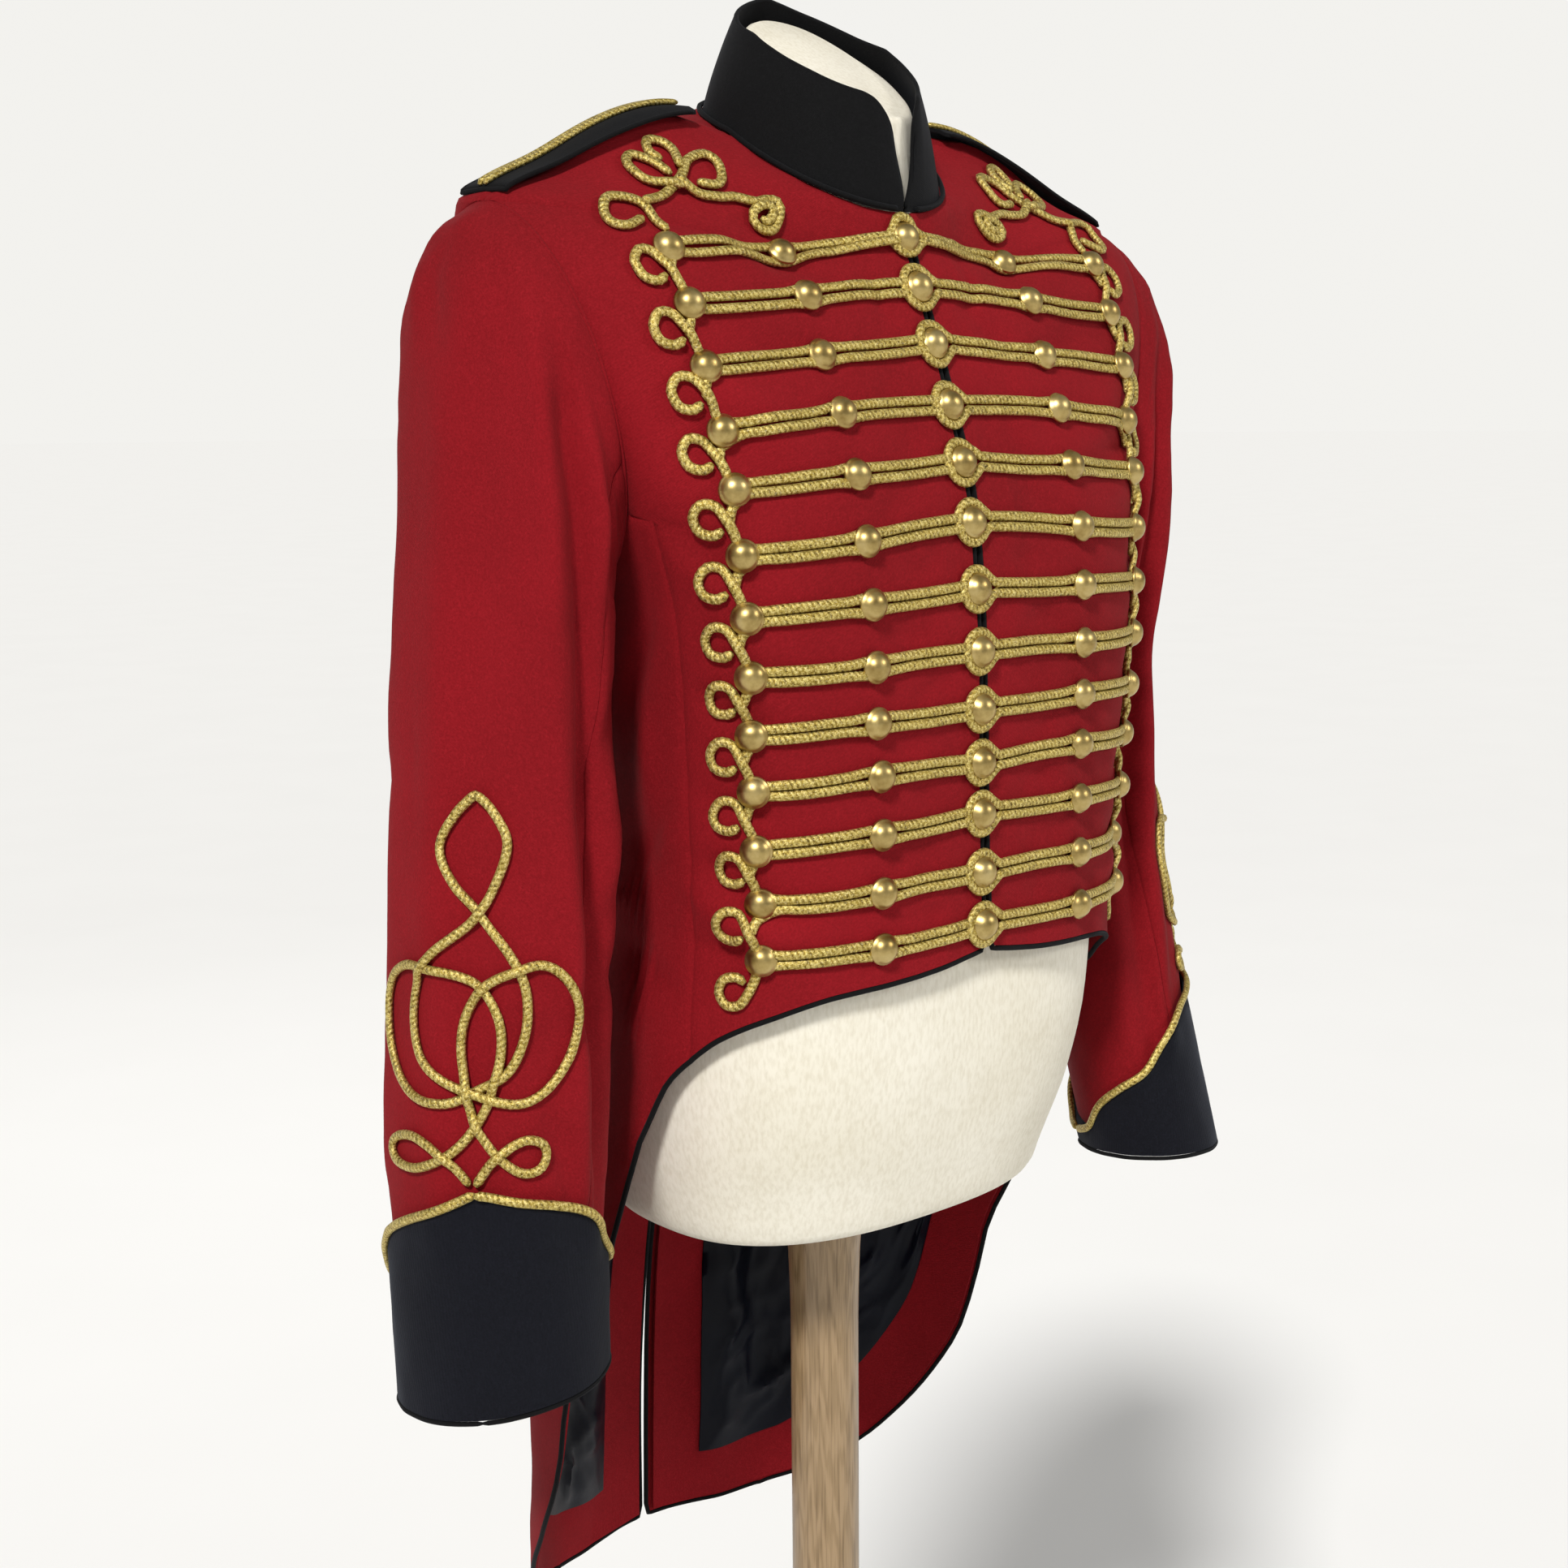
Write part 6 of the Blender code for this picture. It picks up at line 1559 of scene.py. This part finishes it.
def wool(name, dark, middle, light, sheen_weight, tint, twill=26.0):
    """Felted serge: a faint twill under a nap, with uneven tone."""
    made = Nodes(name, 0.9)
    nap = made.noise(900.0, 4.0, 0.65)
    tone = made.noise(9.0, 3.0, 0.55)
    speck = made.noise(320.0, 2.0, 0.6)
    base = made.ramp(tone, (0.3, dark), (0.7, middle))
    fluff = made.ramp(nap, (0.35, dark), (0.72, light))
    made.colour(made.mix(made.math("MULTIPLY", speck, 0.75), base, fluff))
    made.bump((made.weave(twill, 52.0), 0.25, 0.0002), (nap, 0.35, 0.0003), (speck, 0.2, 0.0004))
    made.sheen(sheen_weight, 0.45, tint)
    made.specular(0.18)
    return made.material


def satin_cloth():
    made = Nodes("lining_satin", 0.34)
    tone = made.noise(14.0, 3.0)
    thread = made.noise(260.0, 2.0, 0.5, "UV", (0.2, 6.0, 1.0))
    made.colour(made.ramp(tone, (0.3, (0.0010, 0.0014, 0.004)), (0.75, (0.0025, 0.004, 0.010))))
    made.roughness(thread, 0.3, 0.45)
    made.bump((thread, 0.12, 0.0002), (made.noise(60.0, 3.0), 0.25, 0.0012))
    made.specular(0.12)
    return made.material


def gold_thread():
    """Metallic yarn wound slantwise round a cord, with painted shade in the yarn's low parts, painted
    highlights on its high parts, and painted glints.
    """
    made = Nodes("gold_cord", 0.4, 0.72)
    split = made.add("ShaderNodeSeparateXYZ")
    made.link(made.place.outputs["UV"], split, "Vector")
    turn = made.math("ADD", made.math("MULTIPLY", split.outputs["X"], 2 * math.pi * 34.0),
                     made.math("MULTIPLY", split.outputs["Y"], 2 * math.pi * 2.0))
    strand = made.math("ADD", made.math("MULTIPLY", made.math("SINE", turn), 0.5), 0.5)
    glitter = made.noise(1300.0, 3.0, 0.7)
    flecks = made.noise(560.0, 3.0, 0.65)
    height = made.math("ADD", made.math("MULTIPLY", strand, 0.22), made.math("MULTIPLY", flecks, 1.2))
    # Painted shade and highlight: the colour is darkest where the yarn's bump height is lowest and
    # lightest where it is highest.
    painted_hollow_shade, mid, painted_crest_highlight = (0.05, 0.03, 0.003), (0.45, 0.32, 0.05), (0.88, 0.74, 0.26)
    base = made.ramp(height, (0.46, painted_hollow_shade), (0.66, mid), (0.88, painted_crest_highlight))
    # Painted glints: bright yellow-white flecks, with dark specks of painted shade between them.
    painted_glints = made.ramp(glitter, (0.42, (0.16, 0.10, 0.015)), (0.52, mid), (0.62, (1.0, 0.88, 0.50)))
    made.colour(made.mix(0.45, base, painted_glints))
    made.roughness(glitter, 0.32, 0.6)
    made.bump((height, 0.9, 0.0007), (glitter, 0.7, 0.0003))
    made.specular(0.5)
    return made.material


def brass_metal():
    """Satin antique brass: brushed, darker where fingers don't reach."""
    made = Nodes("button_brass", 0.36, 1.0)
    patina = made.noise(90.0, 4.0, 0.6)
    grain = made.noise(700.0, 3.0, 0.6)
    made.colour(made.ramp(patina, (0.28, (0.30, 0.20, 0.06)), (0.55, (0.52, 0.39, 0.15)),
                          (0.85, (0.68, 0.55, 0.27))))
    made.roughness(made.math("ADD", made.math("MULTIPLY", grain, 0.5),
                             made.math("MULTIPLY", patina, 0.5)), 0.26, 0.5)
    made.bump((grain, 0.18, 0.0002), (patina, 0.12, 0.0008))
    return made.material


def form_jersey():
    """Stretched cream cover of the form: a fine knit with soft mottling."""
    made = Nodes("form_cream", 0.85)
    mottle = made.noise(16.0, 4.0, 0.6)
    knit = made.noise(520.0, 2.0, 0.5, stretch=(1, 1, 0.35))
    base = made.ramp(mottle, (0.25, (0.70, 0.65, 0.52)), (0.7, (0.83, 0.79, 0.68)))
    rib = made.ramp(knit, (0.3, (0.62, 0.57, 0.45)), (0.6, (0.86, 0.83, 0.73)))
    made.colour(made.mix(0.35, base, rib))
    made.bump((knit, 0.35, 0.0004), (mottle, 0.1, 0.002))
    made.sheen(0.15, 0.5, (1.0, 0.97, 0.9))
    made.specular(0.25)
    return made.material


def ash_wood():
    """Varnished ash: long straight grain, fine pores, knots of darker rings."""
    made = Nodes("wood_ash", 0.4)
    mapping = made.add("ShaderNodeMapping")
    mapping.inputs["Scale"].default_value = (1.0, 1.0, 0.07)
    made.link(made.place.outputs["Object"], mapping, "Vector")
    wave = made.add("ShaderNodeTexWave", wave_type="RINGS", rings_direction="X")
    wave.inputs["Scale"].default_value = 110.0
    wave.inputs["Distortion"].default_value = 9.0
    wave.inputs["Detail"].default_value = 3.0
    wave.inputs["Detail Scale"].default_value = 2.0
    made.link(mapping.outputs["Vector"], wave, "Vector")
    pores = made.noise(700.0, 2.0, 0.5, stretch=(1, 1, 0.03))
    rings = made.ramp(wave.outputs["Fac"], (0.1, (0.21, 0.135, 0.06)), (0.45, (0.265, 0.175, 0.085)),
                      (0.9, (0.31, 0.21, 0.11)))
    grain = made.ramp(pores, (0.36, (0.14, 0.085, 0.04)), (0.5, (0.33, 0.225, 0.12)))
    made.colour(made.mix(0.4, rings, grain))
    made.roughness(pores, 0.5, 0.34)
    made.bump((pores, 0.2, 0.0004), (wave.outputs["Fac"], 0.08, 0.0006))
    made.shader.inputs["Coat Weight"].default_value = 0.25
    made.shader.inputs["Coat Roughness"].default_value = 0.25
    return made.material


# ---------------------------------------------------------------- stage, light and camera
CAMERA_AT = (-0.8510, -0.9333, 1.3148)
CAMERA_TURN = (-41.4, 10.0, -0.5)        # azimuth, elevation, roll in degrees
CAMERA_LENS = 2791.6 / 1932 * 36.0
WORLD_LIGHT = 0.30                      # the world's strength for all but the camera's own rays
WORLD_COLOUR = (0.895, 0.885, 0.855, 1.0)
FLOOR_R = 60000.0
FLOOR_DEEP = 2.0


def build_camera():
    azimuth, elevation, roll = (math.radians(a) for a in CAMERA_TURN)
    back = Vector((math.sin(azimuth) * math.cos(elevation), -math.cos(azimuth) * math.cos(elevation),
                   math.sin(elevation)))
    right = Vector((0.0, 0.0, 1.0)).cross(back).normalized()
    up = back.cross(right)
    right, up = (right * math.cos(roll) + up * math.sin(roll),
                 up * math.cos(roll) - right * math.sin(roll))
    data = bpy.data.cameras.new("camera")
    data.sensor_width = 36.0
    data.lens = CAMERA_LENS
    data.clip_start = 0.05
    made = bpy.data.objects.new("camera", data)
    bpy.context.scene.collection.objects.link(made)
    turn = Matrix((right, up, back)).transposed().to_4x4()
    made.matrix_world = Matrix.Translation(CAMERA_AT) @ turn
    bpy.context.scene.camera = made


def area_light(name, at, aim, size, power, colour=(1.0, 1.0, 1.0)):
    data = bpy.data.lights.new(name, "AREA")
    data.shape = "DISK"
    data.size = size
    data.energy = power
    data.color = colour
    made = bpy.data.objects.new(name, data)
    bpy.context.scene.collection.objects.link(made)
    made.location = at
    made.rotation_euler = (Vector(aim) - Vector(at)).to_track_quat("-Z", "Y").to_euler()


def sun_light(name, towards, power, spread_angle, colour):
    """Even light from afar; `towards` points from the object to the light."""
    data = bpy.data.lights.new(name, "SUN")
    data.energy = power
    data.angle = math.radians(spread_angle)
    data.color = colour
    made = bpy.data.objects.new(name, data)
    bpy.context.scene.collection.objects.link(made)
    made.rotation_euler = (-Vector(towards)).to_track_quat("-Z", "Y").to_euler()


def build_stage():
    made = Nodes("floor_pale", 0.95)
    tone = made.noise(3.0, 2.0)
    made.colour(made.ramp(tone, (0.3, (0.868, 0.868, 0.862)), (0.7, (0.878, 0.878, 0.872))))
    made.specular(0.0)
    points, faces, uvs = tube_mesh(turned(((FLOOR_R, -FLOOR_DEEP), (FLOOR_R, 0.0))))
    floor = mesh_object("floor", points, faces, made.material, uvs)
    scene = bpy.context.scene
    scene.view_settings.view_transform = "Standard"
    world = bpy.data.worlds.new("studio")
    world.use_nodes = True
    back = world.node_tree.nodes["Background"]
    back.inputs["Color"].default_value = WORLD_COLOUR
    path = world.node_tree.nodes.new("ShaderNodeLightPath")
    level = world.node_tree.nodes.new("ShaderNodeMapRange")
    level.inputs["To Min"].default_value = WORLD_LIGHT
    level.inputs["To Max"].default_value = 1.0
    world.node_tree.links.new(path.outputs["Is Camera Ray"], level.inputs["Value"])
    world.node_tree.links.new(level.outputs[0], back.inputs["Strength"])
    scene.world = world
    sun_light("key", (-0.62, -0.42, 0.66), 3.0, 9.0, (1.0, 0.985, 0.96))
    sun_light("second", (0.55, -0.70, 0.46), 0.8, 14.0, (1.0, 0.985, 0.96))
    area_light("rear_box", (1.2, 3.0, 2.7), (0.0, 0.0, 1.1), 1.6, 12.0)


# ---------------------------------------------------------------- build
def main():
    red = wool("wool_red", (0.155, 0.0014, 0.004), (0.235, 0.003, 0.008), (0.36, 0.010, 0.018), 0.02,
               (1.0, 0.3, 0.3))
    black = wool("wool_black", (0.0012, 0.0012, 0.0015), (0.003, 0.003, 0.0035),
                 (0.008, 0.008, 0.009), 0.03, (0.8, 0.85, 1.0), 34.0)
    navy = wool("wool_navy", (0.0015, 0.0018, 0.004), (0.0035, 0.004, 0.008),
                (0.011, 0.012, 0.02), 0.05, (0.7, 0.78, 1.0))
    gold, brass, satin = gold_thread(), brass_metal(), satin_cloth()
    build_stand(ash_wood())
    build_form(form_jersey())
    grids = build_panels(red)
    sleeves = build_sleeves(red)
    build_armhole_seams(red)
    build_cuffs(navy, black)
    build_collar(black)
    trees = {label: [facets(grids["front", label][0]), facets(grids["back", label][0])]
             for label, _ in SIDES}
    build_straps(trees, black, gold)
    build_edge_piping(grids, black)
    build_tail_insides(red, satin)
    chest = Chest(grids)
    places = build_frogging(chest, gold)
    build_buttons(chest, places, brass)
    build_ornaments(trees, gold)
    build_knots(sleeves, gold)
    build_stage()
    build_camera()


main()
